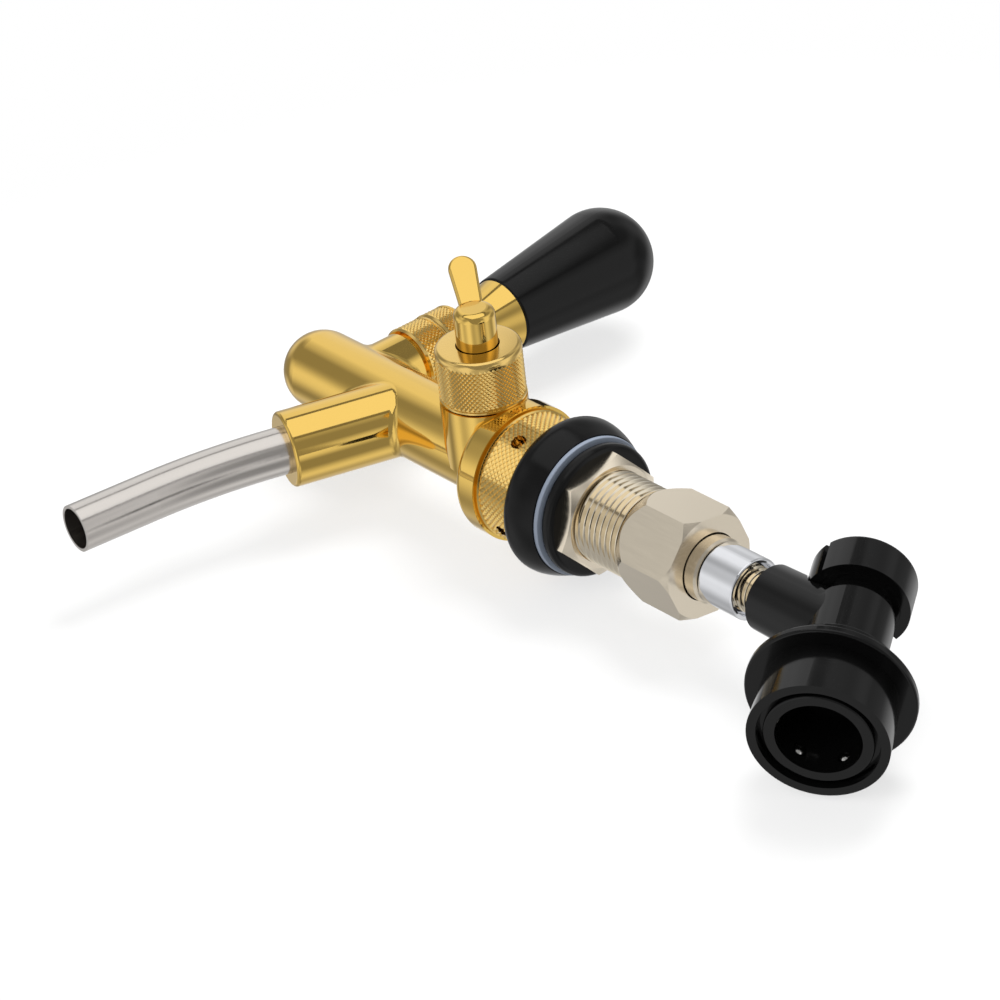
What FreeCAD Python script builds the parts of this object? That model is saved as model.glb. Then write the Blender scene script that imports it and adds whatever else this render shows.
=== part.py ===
"""Beer tap with flow control, wall shank and keg disconnect, as an assembly of separate pieces.

The shank runs along Y with the wall behind the front washer at y = 0, +Y to the rear.
The lever stands up along Z, the flow spindle points to +X, and all lengths are in millimetres.
"""
import FreeCAD
import Part
import Sketcher
import math
import os

# Driving sizes: lengths in millimetres, angles in degrees, stations along the named axis
SIZES = {
    # Casting
    "barrel_radius": 10.2,
    "nose_past_lever": 14.4,
    "flange_radius": 17.0,
    "flange_length": 7.2,
    "flange_round": 2.4,
    "flange_fillet": 3.6,
    "boss_radius": 8.6,
    "boss_top": 14.5,
    "boss_fillet": 3.0,
    "lever_y": -85.0,
    "neck_radius": 7.6,
    "neck_top": 27.0,
    "socket_y": -65.7,
    "socket_slope": 18.8,
    "socket_radius": 9.5,
    "socket_length": 32.7,
    "socket_round": 0.9,
    "socket_fillet": 2.2,
    "flow_y": -35.3,
    "flow_boss_radius": 10.6,
    "flow_boss_top": 16.5,
    "flow_neck_radius": 8.3,
    "flow_neck_top": 24.4,
    "front_bore_radius": 6.6,
    "front_bore_end": 3.0,
    "seat_y": -55.5,
    "seat_length": 2.2,
    "seat_hole_radius": 4.6,
    "rear_bore_radius": 7.2,
    "passage_radius": 4.4,
    "lever_well_radius": 6.6,
    "lever_hole_low": 7.6,
    "lever_hole_high": 5.3,
    "lever_hole_z": 9.0,
    "tip_relief_reach": 9.4,
    "tip_relief_half": 2.6,
    "tip_relief_top": 8.4,
    # Fits and gaps
    "thread_fit": 0.05,
    "turning_fit": 0.1,
    "easy_fit": 0.2,
    "free_gap": 0.3,
    "cut_past": 1.0,
    # Spout
    "tube_radius": 5.9,
    "tube_wall": 0.8,
    "tube_depth": 12.0,
    "tube_straight": 2.7,
    "tube_bend_radius": 150.0,
    "tube_bend": 12.8,
    "tube_end_length": 20.2,
    "tube_seal_wire": 0.85,
    "tube_seal_inset": 6.7,
    "seal_groove_half": 1.0,
    # Lever
    "pivot_z": 22.0,
    "lever_lean": 2.4,
    "ball_radius": 5.8,
    "tip_drop": 17.5,
    "tip_radius": 2.2,
    "rod_radius": 1.6,
    "shaft_radius": 3.2,
    "shaft_top": 14.8,
    "stud_radius": 2.5,
    "stud_top": 41.0,
    "collar_radius": 9.4,
    "collar_low": 15.6,
    "collar_seam": 24.2,
    "ring_radius": 9.6,
    "ring_top": 31.4,
    "ring_mouth": 7.2,
    "rim_chamfer": 0.5,
    "ring_hole": 5.9,
    "friction_low": 24.4,
    "friction_high": 27.2,
    "friction_bore": 5.6,
    "ball_seat_low": 15.2,
    "ball_seat_high": 18.6,
    "ball_seat_bore": 4.9,
    "ferrule_low": 12.8,
    "ferrule_low_radius": 6.0,
    "ferrule_radius": 9.5,
    "grip_low": 25.0,
    "grip_low_radius": 9.9,
    "grip_end_radius": 13.9,
    "grip_round": 0.8,
    "grip_end_centre": 60.4,
    "insert_radius": 5.0,
    "insert_length": 22.0,
    # Valve
    "plunger_front": 6.5,
    "plunger_rear": 7.5,
    "slot_width": 4.9,
    "slot_floor": 2.0,
    "stem_radius": 2.6,
    "spigot_radius": 1.6,
    "valve_seal_radius": 6.0,
    "valve_seal_thick": 3.0,
    "valve_nut_flats": 6.4,
    "valve_nut_thick": 2.0,
    # Flow control
    "cone_front": 7.1,
    "cone_rear": 7.3,
    "cone_small": 3.2,
    "cone_large": 6.7,
    "groove_floor": 2.2,
    "pin_radius": 1.2,
    "pin_offset": 1.75,
    "pin_end": 2.6,
    "pin_fit": 0.15,
    "spindle_end": 6.2,
    "spindle_radius": 3.0,
    "spindle_flange_radius": 7.4,
    "spindle_flange_thick": 2.7,
    "stem_hub_radius": 4.2,
    "stem_hub_top": 37.6,
    "spindle_seal_x": 20.0,
    "spindle_seal_wire": 0.5,
    "cap_radius": 10.5,
    "cap_low": 16.9,
    "cap_roof": 27.7,
    "cap_top": 30.6,
    "cap_hole_radius": 5.45,
    "cap_chamfer_high": 1.2,
    "cap_chamfer_wide": 0.7,
    "hub_radius": 5.0,
    "hub_low": 32.4,
    "hub_top": 40.3,
    "hub_round": 2.0,
    "hub_socket_top": 37.8,
    "blade_bearing": 240.0,
    "blade_rise": 34.7,
    "blade_root": 36.4,
    "blade_length": 14.2,
    "blade_root_half": 2.8,
    "blade_tip_radius": 3.4,
    "blade_thick": 2.4,
    "blade_round": 0.9,
    # Shank and wall fixing
    "thread_radius": 11.45,
    "shank_bore": 5.0,
    "shank_depth": 3.9,
    "shank_rear": 29.0,
    "shank_chamfer": 1.0,
    "gasket_bore": 7.6,
    "gasket_thick": 1.1,
    "knurl_radius": 16.2,
    "knurl_length": 12.5,
    "spanner_radius": 1.9,
    "spanner_depth": 3.4,
    "spanner_setback": 5.8,
    "spanner_bearing": 25.0,
    "front_washer_radius": 19.5,
    "front_washer_thick": 9.5,
    "front_washer_round": 3.6,
    "middle_washer_radius": 17.2,
    "middle_washer_thick": 1.2,
    "rear_washer_radius": 16.4,
    "rear_washer_thick": 3.7,
    "rear_washer_round": 1.5,
    "lock_nut_flats": 26.2,
    "lock_nut_thick": 3.2,
    "lock_nut_turn": 17.5,
    "lock_nut_face": 12.7,
    # Coupling and tailpiece
    "coupling_front": 22.6,
    "coupling_corner_front": 27.0,
    "coupling_corner_rear": 39.2,
    "coupling_rear": 41.0,
    "coupling_flats": 24.4,
    "coupling_face_front": 11.95,
    "coupling_face_rear": 12.6,
    "coupling_turn": 39.0,
    "seal_washer_thick": 2.2,
    "tail_flange_radius": 11.2,
    "tail_flange_thick": 2.5,
    "tail_radius": 8.0,
    "tail_rear": 44.6,
    "tail_bore": 4.0,
    "tail_neck_radius": 4.2,
    "tail_neck_bore": 2.4,
    "tail_flare_radius": 5.2,
    "tail_flare_thick": 1.5,
    "sleeve_radius": 7.5,
    "sleeve_rear": 56.0,
    "sleeve_wall": 2.1,
    "sleeve_mouth_radius": 6.5,
    "sleeve_mouth_depth": 2.8,
    "stub_radius": 5.55,
    "stub_root_radius": 4.0,
    "stub_root_length": 5.0,
    # Keg disconnect, about its own upright axis
    "disconnect_y": 85.15,
    "disconnect_tilt": 33.4,
    "disconnect_swivel": 8.7,
    "arm_length": 24.1,
    "arm_end_radius": 8.0,
    "arm_root_radius": 8.6,
    "arm_bore": 3.0,
    "column_radius": 9.5,
    "column_top": 7.0,
    "neck_below_cap": 8.0,
    "top_thread_low": 10.0,
    "top_thread_radius": 9.7,
    "top_thread_end": 17.6,
    "column_bore": 5.0,
    "shoulder_radius": 13.4,
    "shoulder_low": -13.0,
    "shoulder_high": -11.0,
    "shoulder_cone": -6.6,
    "shell_radius": 12.2,
    "shell_low": -33.4,
    "post_radius": 9.6,
    "post_roof": -15.5,
    "poppet_hole": 3.4,
    "release_low": -33.9,
    "release_low_radius": 15.7,
    "release_mouth_radius": 13.6,
    "release_mouth_depth": 3.3,
    "release_land": -19.0,
    "release_pocket_radius": 14.0,
    "release_skirt_radius": 15.2,
    "release_ring_radius": 19.05,
    "release_ring_low": -20.0,
    "release_ring_high": -17.8,
    "release_rim": -13.2,
    "release_ring_round": 0.6,
    "release_spring_radius": 13.05,
    "release_spring_wire": 0.4,
    "release_spring_turns": 3.0,
    "lock_ball_radius": 1.55,
    "lock_ball_circle": 10.65,
    "lock_ball_level": -28.5,
    "lock_ball_bearing": 40.6,
    "retainer_bore": 11.7,
    "retainer_radius": 13.2,
    "retainer_low": -31.6,
    "retainer_thick": 0.7,
    "top_radius": 12.07,
    "top_low": 10.4,
    "top_roof": 18.8,
    "top_high": 20.8,
    "top_round": 1.1,
    "top_post_radius": 4.4,
    "top_post_low": 7.5,
    "top_slot_width": 1.6,
    "top_slot_depth": 1.2,
    "top_slot_bearing": -34.0,
    "top_groove_depth": 1.7,
    "top_seal_circle": 7.4,
    "top_seal_wire": 0.55,
    "poppet_pin_radius": 1.6,
    "poppet_pin_low": -20.0,
    "poppet_head_radius": 4.3,
    "poppet_head_thick": 1.4,
    "poppet_seal_thick": 0.8,
    "poppet_stem_radius": 1.5,
    "poppet_stem_top": -2.0,
    "poppet_spring_radius": 3.0,
    "poppet_spring_wire": 0.35,
    "poppet_spring_turns": 7.0,
}
LOCK_BALLS = 6
COIL_STEPS = 14
SPANNER_HOLES = 4
HEXAGON = 6


class Size:
    """A length or angle: its number, and the expression that reads it from the sheet."""

    def __init__(self, text, number):
        self.text = text
        self.number = number

    def __add__(self, other):
        other = sized(other)
        return Size(f"({self.text} + {other.text})", self.number + other.number)

    def __sub__(self, other):
        other = sized(other)
        return Size(f"({self.text} - {other.text})", self.number - other.number)

    def __rsub__(self, other):
        return sized(other) - self

    def __mul__(self, other):
        other = sized(other)
        return Size(f"({self.text} * {other.text})", self.number * other.number)

    def __truediv__(self, other):
        other = sized(other)
        return Size(f"({self.text} / {other.text})", self.number / other.number)

    def __neg__(self):
        return Size(f"(0 - {self.text})", -self.number)

    __radd__ = __add__
    __rmul__ = __mul__


class Sheet:
    """Reads every driving size by its name."""

    def __getattr__(self, name):
        return Size(f"Sizes.{name}", SIZES[name])


def sized(value):
    return value if isinstance(value, Size) else Size(repr(float(value)), float(value))


def sine(angle):
    return Size(f"sin({angle.text} * 1 deg)", math.sin(math.radians(angle.number)))


def cosine(angle):
    return Size(f"cos({angle.text} * 1 deg)", math.cos(math.radians(angle.number)))


def root(value):
    return Size(f"sqrt({value.text})", math.sqrt(value.number))


d = Sheet()
ZERO = Size("0", 0.0)
document = FreeCAD.newDocument("BeerTap")
pieces = []

# Turns that bring a piece's own upright axis onto the axis it has in the tap
UP = FreeCAD.Rotation()
REAR = FreeCAD.Rotation(FreeCAD.Vector(1, 0, 0), -90)
SIDE = FreeCAD.Rotation(FreeCAD.Vector(0, 1, 0), 90)
DOWN_SPOUT = FreeCAD.Rotation(FreeCAD.Vector(1, 0, 0), 180 - SIZES["socket_slope"])
LEAN = FreeCAD.Rotation(FreeCAD.Vector(1, 0, 0), SIZES["lever_lean"])
TILT = FreeCAD.Rotation(FreeCAD.Vector(1, 0, 0), SIZES["disconnect_tilt"])
HANG = FreeCAD.Rotation(FreeCAD.Vector(0, 1, 0), SIZES["disconnect_swivel"]).multiply(TILT)
ARM = FreeCAD.Rotation(FreeCAD.Vector(1, 0, 0), 90 - SIZES["disconnect_tilt"])


def write_sheet():
    """Put every driving size in the spreadsheet under its own name."""
    sheet = document.addObject("Spreadsheet::Sheet", "Sizes")
    for row, (name, value) in enumerate(SIZES.items(), start=1):
        sheet.set(f"A{row}", name)
        sheet.set(f"B{row}", str(value))
        sheet.setAlias(f"B{row}", name)
    document.recompute()


def bind(thing, path, size):
    thing.setExpression(path, size.text)


def place(thing, turn=UP, x=ZERO, y=ZERO, z=ZERO, along=ZERO):
    """Turn a thing, move it to x, y, z and then by along on its own upright axis."""
    axis = turn.multVec(FreeCAD.Vector(0, 0, 1))
    spots = {"x": x, "y": y, "z": z}
    for name, share in zip("xyz", axis):
        if along is not ZERO and abs(share) > 1e-12:
            spots[name] = spots[name] + along * share
    base = FreeCAD.Vector(spots["x"].number, spots["y"].number, spots["z"].number)
    thing.Placement = FreeCAD.Placement(base, turn)
    for name, spot in spots.items():
        if spot is not ZERO:
            bind(thing, f"Placement.Base.{name}", spot)
    return thing


def keep(thing, label):
    """Name a finished piece; its shape becomes the file of that name."""
    thing.Label = label
    pieces.append(thing)
    return thing


def add(kind, name):
    return document.addObject(kind, name)


def cylinder(name, radius, low, high, turn=UP, x=ZERO, y=ZERO, z=ZERO):
    """A cylinder between two stations of its own axis."""
    thing = add("Part::Cylinder", name)
    bind(thing, "Radius", radius)
    bind(thing, "Height", high - low)
    return place(thing, turn, x, y, z, sized(low))


def cone(name, low_radius, high_radius, low, high, turn=UP, x=ZERO, y=ZERO, z=ZERO):
    """A cone between two stations of its own axis."""
    thing = add("Part::Cone", name)
    bind(thing, "Radius1", low_radius)
    bind(thing, "Radius2", high_radius)
    bind(thing, "Height", high - low)
    return place(thing, turn, x, y, z, sized(low))


def ball(name, radius, x=ZERO, y=ZERO, z=ZERO):
    thing = add("Part::Sphere", name)
    bind(thing, "Radius", radius)
    return place(thing, UP, x, y, z)


def torus(name, circle, wire, turn, x=ZERO, y=ZERO, z=ZERO, along=ZERO):
    thing = add("Part::Torus", name)
    bind(thing, "Radius1", circle)
    bind(thing, "Radius2", wire)
    return place(thing, turn, x, y, z, along)


def hexagon(name, flats, low, high, turn):
    """A hexagonal bar between two stations, from its size across flats."""
    thing = add("Part::Prism", name)
    thing.Polygon = HEXAGON
    bind(thing, "Circumradius", flats / math.sqrt(3))
    bind(thing, "Height", high - low)
    return place(thing, turn, along=sized(low))


def fuse(name, *things):
    result = add("Part::MultiFuse", name)
    result.Shapes = list(things)
    result.Refine = True
    return result


def cut(name, base, *tools):
    """Take one or more tools away from a base."""
    result = add("Part::Cut", name)
    result.Base = base
    result.Tool = tools[0] if len(tools) == 1 else fuse(f"{name}_tools", *tools)
    return result


def common(name, first, second):
    result = add("Part::MultiCommon", name)
    result.Shapes = [first, second]
    return result


def outline(body, plane_role, corners):
    """Draw a closed profile whose corners are bound to the sheet.

    Each corner is (across, along) or (across, along, centre, held): with a centre, the edge
    that leaves it curves about that station of the upright axis, and the next corner is held
    only as its own entry says.
    """
    sketch = body.newObject("Sketcher::SketchObject", f"{body.Name}_outline")
    plane = [f for f in body.Origin.OriginFeatures if f.Role == plane_role][0]
    sketch.AttachmentSupport = [(plane, "")]
    sketch.MapMode = "FlatFace"
    spots = [(sized(c[0]), sized(c[1])) for c in corners]
    centres = [c[2] if len(c) > 2 else None for c in corners]
    held = [c[3] if len(c) > 3 else "both" for c in corners]
    starts = []
    count = len(corners)
    for i in range(count):
        here = FreeCAD.Vector(spots[i][0].number, spots[i][1].number, 0)
        after = FreeCAD.Vector(spots[(i + 1) % count][0].number, spots[(i + 1) % count][1].number, 0)
        if centres[i] is None:
            sketch.addGeometry(Part.LineSegment(here, after), False)
            starts.append((i, 1, 2))
            continue
        centre = FreeCAD.Vector(0, sized(centres[i]).number, 0)
        first = math.atan2(here.y - centre.y, here.x - centre.x)
        last = math.atan2(after.y - centre.y, after.x - centre.x)
        circle = Part.Circle(centre, FreeCAD.Vector(0, 0, 1), (here - centre).Length)
        forward = (last - first) % (2 * math.pi) <= math.pi + 1e-9
        if forward:
            sketch.addGeometry(Part.ArcOfCircle(circle, first, last), False)
            starts.append((i, 1, 2))
        else:
            sketch.addGeometry(Part.ArcOfCircle(circle, last, first), False)
            starts.append((i, 2, 1))
    rules = []
    for i in range(count):
        following = starts[(i + 1) % count]
        rules.append(Sketcher.Constraint("Coincident", i, starts[i][2], following[0], following[1]))
    sketch.addConstraint(rules)
    for i, (across, along) in enumerate(spots):
        if held[i] != "along":
            hold(sketch, "DistanceX", i, starts[i][1], across, -2)
        if held[i] != "across":
            hold(sketch, "DistanceY", i, starts[i][1], along, -1)
        if centres[i] is not None:
            sketch.addConstraint(Sketcher.Constraint("PointOnObject", i, 3, -2))
            hold(sketch, "DistanceY", i, 3, sized(centres[i]), -1)
    return sketch


def hold(sketch, kind, edge, point, size, axis):
    """Hold one coordinate of a point at a size, or on the axis where the size is nothing."""
    if size.text == "0" or size.text == "0.0":
        sketch.addConstraint(Sketcher.Constraint("PointOnObject", edge, point, axis))
        return
    number = sketch.addConstraint(Sketcher.Constraint(kind, -1, 1, edge, point, size.number))
    bind(sketch, f"Constraints[{number}]", size)


def turned(name, corners):
    """A body turned about its own upright axis from a profile of (radius, station) corners."""
    body = add("PartDesign::Body", name)
    sketch = outline(body, "XZ_Plane", corners)
    turn = body.newObject("PartDesign::Revolution", f"{name}_turn")
    turn.Profile = sketch
    turn.ReferenceAxis = (sketch, ["V_Axis"])
    turn.Angle = 360
    document.recompute()
    return body


def ring_edges(shape, radius, station):
    """Names of the full circles of a turned shape with one radius at one station."""
    names = []
    for number, edge in enumerate(shape.Edges, start=1):
        if edge.Degenerated or not isinstance(edge.Curve, Part.Circle):
            continue
        curve = edge.Curve
        if abs(curve.Radius - radius.number) < 1e-4 and abs(curve.Center.z - station.number) < 1e-4:
            names.append(f"Edge{number}")
    return names


def soften(body, kind, size, *rings):
    """Round or chamfer a turned body at each (radius, station)."""
    tip = body.Tip
    names = []
    for radius, station in rings:
        names += ring_edges(tip.Shape, sized(radius), sized(station))
    feature = body.newObject(f"PartDesign::{kind}", f"{body.Name}_{kind}{len(body.Group)}")
    feature.Base = (tip, names)
    bind(feature, "Radius" if kind == "Fillet" else "Size", size)
    document.recompute()
    return body


def tube_ring(name, bore, outside, low, high):
    """A plain ring or bush."""
    return turned(name, [(bore, low), (outside, low), (outside, high), (bore, high)])


def bearing_turn(turn, degrees):
    """Turn about the piece's own upright axis before it is laid on its axis."""
    return turn.multiply(FreeCAD.Rotation(FreeCAD.Vector(0, 0, 1), degrees))


# Stations that several pieces share
nose_front = d.lever_y - d.nose_past_lever
washer_front = -d.front_washer_thick
flange_rear = washer_front - d.knurl_length
flange_front = flange_rear - d.flange_length
shank_front = flange_rear - d.shank_depth
thread_bore = d.thread_radius + d.thread_fit
middle_rear = d.middle_washer_thick
rear_rear = middle_rear + d.rear_washer_thick
lock_rear = rear_rear + d.lock_nut_thick
tail_flange_front = d.shank_rear + d.seal_washer_thick
tail_flange_rear = tail_flange_front + d.tail_flange_thick
arm_face = d.disconnect_y - d.arm_length
seat_front = d.seat_y - d.seat_length
tube_seat = d.socket_length - d.tube_depth
tube_seal = d.socket_length - d.tube_seal_inset


def blend(name, solid, pairs):
    """Round the edges where two cylinders of known radius meet."""
    document.recompute()
    edges = []
    for number, edge in enumerate(solid.Shape.Edges, start=1):
        if edge.Degenerated:
            continue
        faces = solid.Shape.ancestorsOfType(edge, Part.Face)
        radii = sorted(round(f.Surface.Radius, 4) for f in faces if hasattr(f.Surface, "Radius"))
        for first, second, size in pairs:
            if radii == sorted([round(first.number, 4), round(second.number, 4)]):
                edges.append((number, size.number, size.number))
    result = add("Part::Fillet", name)
    result.Base = solid
    result.Edges = edges
    return result


def make_casting():
    """The cast tap body: barrel with domed nose, bosses, spout socket and rear flange."""
    barrel = turned("Barrel", [
        (0, nose_front - d.barrel_radius, nose_front, "across"),
        (d.barrel_radius, nose_front),
        (d.barrel_radius, flange_front),
        (d.flange_radius, flange_front),
        (d.flange_radius, flange_rear),
        (0, flange_rear),
    ])
    soften(barrel, "Fillet", d.flange_fillet, (d.barrel_radius, flange_front))
    soften(barrel, "Fillet", d.flange_round, (d.flange_radius, flange_front))
    place(barrel, REAR)
    boss = cylinder("LeverBoss", d.boss_radius, ZERO, d.boss_top, y=d.lever_y)
    neck = cylinder("LeverNeck", d.neck_radius, d.boss_top - d.cut_past, d.neck_top, y=d.lever_y)
    socket = turned("Socket", [
        (0, 0),
        (d.socket_radius, 0),
        (d.socket_radius, d.socket_length),
        (0, d.socket_length),
    ])
    soften(socket, "Fillet", d.socket_round, (d.socket_radius, d.socket_length))
    place(socket, DOWN_SPOUT, y=d.socket_y)
    flow_boss = cylinder("FlowBoss", d.flow_boss_radius, ZERO, d.flow_boss_top, SIDE, y=d.flow_y)
    flow_neck = cylinder("FlowNeck", d.flow_neck_radius, d.flow_boss_top - d.cut_past, d.flow_neck_top,
                         SIDE, y=d.flow_y)
    outside = fuse("CastingOutside", barrel, boss, socket, flow_boss)
    smooth = blend("CastingBlends", outside, [
        (d.barrel_radius, d.boss_radius, d.boss_fillet),
        (d.barrel_radius, d.socket_radius, d.socket_fillet),
    ])
    solid = fuse("CastingSolid", smooth, neck, flow_neck)
    relief = add("Part::Box", "TipRelief")
    bind(relief, "Length", d.tip_relief_half * 2)
    bind(relief, "Width", d.tip_relief_reach)
    bind(relief, "Height", d.tip_relief_top)
    place(relief, x=-d.tip_relief_half, y=d.lever_y)
    gasket_front = shank_front - d.gasket_thick
    groove = d.tube_radius + d.tube_seal_wire * 2
    keep(cut(
        "Casting", solid, relief,
        cylinder("FrontBore", d.front_bore_radius, nose_front + d.front_bore_end, seat_front, REAR),
        cylinder("SeatHole", d.seat_hole_radius, seat_front - d.cut_past, d.seat_y + d.cut_past, REAR),
        cylinder("RearBore", d.rear_bore_radius, d.seat_y, flange_rear, REAR),
        cylinder("ShankBore", thread_bore, gasket_front, flange_rear + d.cut_past, REAR),
        cylinder("Passage", d.passage_radius, ZERO, tube_seat + d.cut_past, DOWN_SPOUT, y=d.socket_y),
        cylinder("TubeBore", d.tube_radius + d.thread_fit, tube_seat, d.socket_length + d.cut_past,
                 DOWN_SPOUT, y=d.socket_y),
        cylinder("TubeSealGroove", groove, tube_seal - d.seal_groove_half,
                 tube_seal + d.seal_groove_half, DOWN_SPOUT, y=d.socket_y),
        cylinder("TipWell", d.lever_hole_low, d.front_bore_radius / 2, d.lever_hole_z,
                 y=d.lever_y),
        cone("LeverHole", d.lever_hole_low, d.lever_hole_high, d.lever_hole_z,
             d.ball_seat_low, y=d.lever_y),
        cylinder("BallWell", d.lever_well_radius, d.ball_seat_low, d.neck_top + d.cut_past, y=d.lever_y),
        cylinder("SpindleHole", d.spindle_radius + d.turning_fit, ZERO, d.flow_neck_top + d.cut_past,
                 SIDE, y=d.flow_y),
    ), "faucet_body")


def make_spout():
    """The bent steel tube pressed in the socket, and the ring that seals it."""
    body = add("PartDesign::Body", "Spout")
    plane = [f for f in body.Origin.OriginFeatures if f.Role == "YZ_Plane"][0]
    path = body.newObject("Sketcher::SketchObject", "SpoutPath")
    path.AttachmentSupport = [(plane, "")]
    path.MapMode = "FlatFace"
    bend_start = d.socket_length + d.tube_straight
    bend_y = d.tube_bend_radius * (cosine(d.tube_bend) - 1)
    bend_z = bend_start + d.tube_bend_radius * sine(d.tube_bend)
    tip_y = bend_y - d.tube_end_length * sine(d.tube_bend)
    tip_z = bend_z + d.tube_end_length * cosine(d.tube_bend)
    spots = [(ZERO, tube_seat), (ZERO, bend_start), (bend_y, bend_z), (tip_y, tip_z)]
    points = [FreeCAD.Vector(a.number, b.number, 0) for a, b in spots]
    centre = FreeCAD.Vector(-d.tube_bend_radius.number, bend_start.number, 0)
    circle = Part.Circle(centre, FreeCAD.Vector(0, 0, 1), d.tube_bend_radius.number)
    path.addGeometry(Part.LineSegment(points[0], points[1]), False)
    path.addGeometry(Part.ArcOfCircle(circle, 0, math.radians(d.tube_bend.number)), False)
    path.addGeometry(Part.LineSegment(points[2], points[3]), False)
    path.addConstraint(Sketcher.Constraint("Coincident", 0, 2, 1, 1))
    path.addConstraint(Sketcher.Constraint("Coincident", 1, 2, 2, 1))
    for edge, point, spot in ((0, 1, 0), (0, 2, 1), (2, 1, 2), (2, 2, 3)):
        hold(path, "DistanceX", edge, point, spots[spot][0], -2)
        hold(path, "DistanceY", edge, point, spots[spot][1], -1)
    hold(path, "DistanceX", 1, 3, -d.tube_bend_radius, -2)
    ring = body.newObject("Sketcher::SketchObject", "SpoutSection")
    floor = [f for f in body.Origin.OriginFeatures if f.Role == "XY_Plane"][0]
    ring.AttachmentSupport = [(floor, "")]
    ring.MapMode = "FlatFace"
    ring.AttachmentOffset = FreeCAD.Placement(FreeCAD.Vector(0, 0, tube_seat.number), UP)
    bind(ring, "AttachmentOffset.Base.z", tube_seat)
    for size in (d.tube_radius, d.tube_radius - d.tube_wall):
        edge = ring.addGeometry(Part.Circle(FreeCAD.Vector(), FreeCAD.Vector(0, 0, 1), size.number))
        ring.addConstraint(Sketcher.Constraint("Coincident", edge, 3, -1, 1))
        number = ring.addConstraint(Sketcher.Constraint("Radius", edge, size.number))
        bind(ring, f"Constraints[{number}]", size)
    pipe = body.newObject("PartDesign::AdditivePipe", "SpoutPipe")
    pipe.Profile = ring
    pipe.Spine = path
    document.recompute()
    place(body, DOWN_SPOUT, y=d.socket_y)
    keep(body, "spout_tube")
    keep(torus("SpoutSeal", d.tube_radius + d.tube_seal_wire, d.tube_seal_wire, DOWN_SPOUT,
               y=d.socket_y, along=tube_seal), "spout_o_ring")


def make_lever():
    """Lever, its seat and rings on the casting neck, and the handle screwed on its stud."""
    neck_bore = d.neck_radius + d.thread_fit
    seat = tube_ring("BallSeat", d.ball_seat_bore, d.lever_well_radius, d.ball_seat_low,
                     d.ball_seat_high)
    keep(place(seat, y=d.lever_y), "ball_seat")
    collar = tube_ring("LeverCollar", neck_bore, d.collar_radius, d.collar_low, d.collar_seam)
    soften(collar, "Chamfer", d.rim_chamfer, (d.collar_radius, d.collar_low),
           (d.collar_radius, d.collar_seam))
    keep(place(collar, y=d.lever_y), "lever_collar")
    friction = tube_ring("FrictionRing", d.friction_bore, d.lever_well_radius - d.turning_fit,
                         d.friction_low, d.friction_high)
    keep(place(friction, y=d.lever_y), "friction_washer")
    ring = turned("LockRing", [
        (neck_bore, d.collar_seam + d.turning_fit),
        (d.ring_radius, d.collar_seam + d.turning_fit),
        (d.ring_radius, d.ring_top),
        (d.ring_mouth, d.ring_top),
        (d.ring_hole, d.friction_high),
        (neck_bore, d.friction_high),
    ])
    soften(ring, "Chamfer", d.rim_chamfer, (d.ring_radius, d.collar_seam + d.turning_fit),
           (d.ring_radius, d.ring_top))
    keep(place(ring, y=d.lever_y), "lever_lock_ring")

    tip = -d.tip_drop
    tip_meet = tip + root(d.tip_radius * d.tip_radius - d.rod_radius * d.rod_radius)
    ball_low = -root(d.ball_radius * d.ball_radius - d.rod_radius * d.rod_radius)
    ball_high = root(d.ball_radius * d.ball_radius - d.shaft_radius * d.shaft_radius)
    lever = turned("Lever", [
        (0, tip - d.tip_radius, tip, "across"),
        (d.rod_radius, tip_meet),
        (d.rod_radius, ball_low, 0),
        (d.shaft_radius, ball_high, None, "across"),
        (d.shaft_radius, d.shaft_top),
        (d.stud_radius, d.shaft_top),
        (d.stud_radius, d.stud_top),
        (0, d.stud_top),
    ])
    keep(place(lever, LEAN, y=d.lever_y, z=d.pivot_z), "lever_shaft")
    stud_hole = d.stud_radius + d.thread_fit
    ferrule = turned("Ferrule", [
        (d.shaft_radius + d.thread_fit, d.ferrule_low),
        (d.ferrule_low_radius, d.ferrule_low),
        (d.ferrule_radius, d.grip_low),
        (stud_hole, d.grip_low),
        (stud_hole, d.shaft_top),
        (d.shaft_radius + d.thread_fit, d.shaft_top),
    ])
    soften(ferrule, "Fillet", d.rim_chamfer, (d.ferrule_low_radius, d.ferrule_low))
    keep(place(ferrule, LEAN, y=d.lever_y, z=d.pivot_z), "handle_ferrule")
    rise = d.grip_end_centre - d.grip_low
    reach = d.grip_low_radius * d.grip_low_radius + rise * rise
    side = root(reach - d.grip_end_radius * d.grip_end_radius)
    across = (d.grip_end_radius * rise - side * d.grip_low_radius) * side / reach
    upward = (d.grip_end_radius * d.grip_low_radius + side * rise) * side / reach
    insert_hole = d.insert_radius + d.thread_fit
    insert_top = d.grip_low + d.insert_length
    grip = turned("Grip", [
        (insert_hole, d.grip_low),
        (d.grip_low_radius, d.grip_low),
        (d.grip_low_radius + across, d.grip_low + upward, d.grip_end_centre),
        (0, d.grip_end_centre + d.grip_end_radius, None, "across"),
        (0, insert_top),
        (insert_hole, insert_top),
    ])
    soften(grip, "Fillet", d.grip_round, (d.grip_low_radius, d.grip_low))
    keep(place(grip, LEAN, y=d.lever_y, z=d.pivot_z), "handle_grip")
    insert = turned("Insert", [
        (stud_hole, d.grip_low),
        (d.insert_radius, d.grip_low),
        (d.insert_radius, insert_top),
        (0, insert_top),
        (0, d.stud_top + d.cut_past),
        (stud_hole, d.stud_top + d.cut_past),
    ])
    keep(place(insert, LEAN, y=d.lever_y, z=d.pivot_z), "handle_insert")


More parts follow.
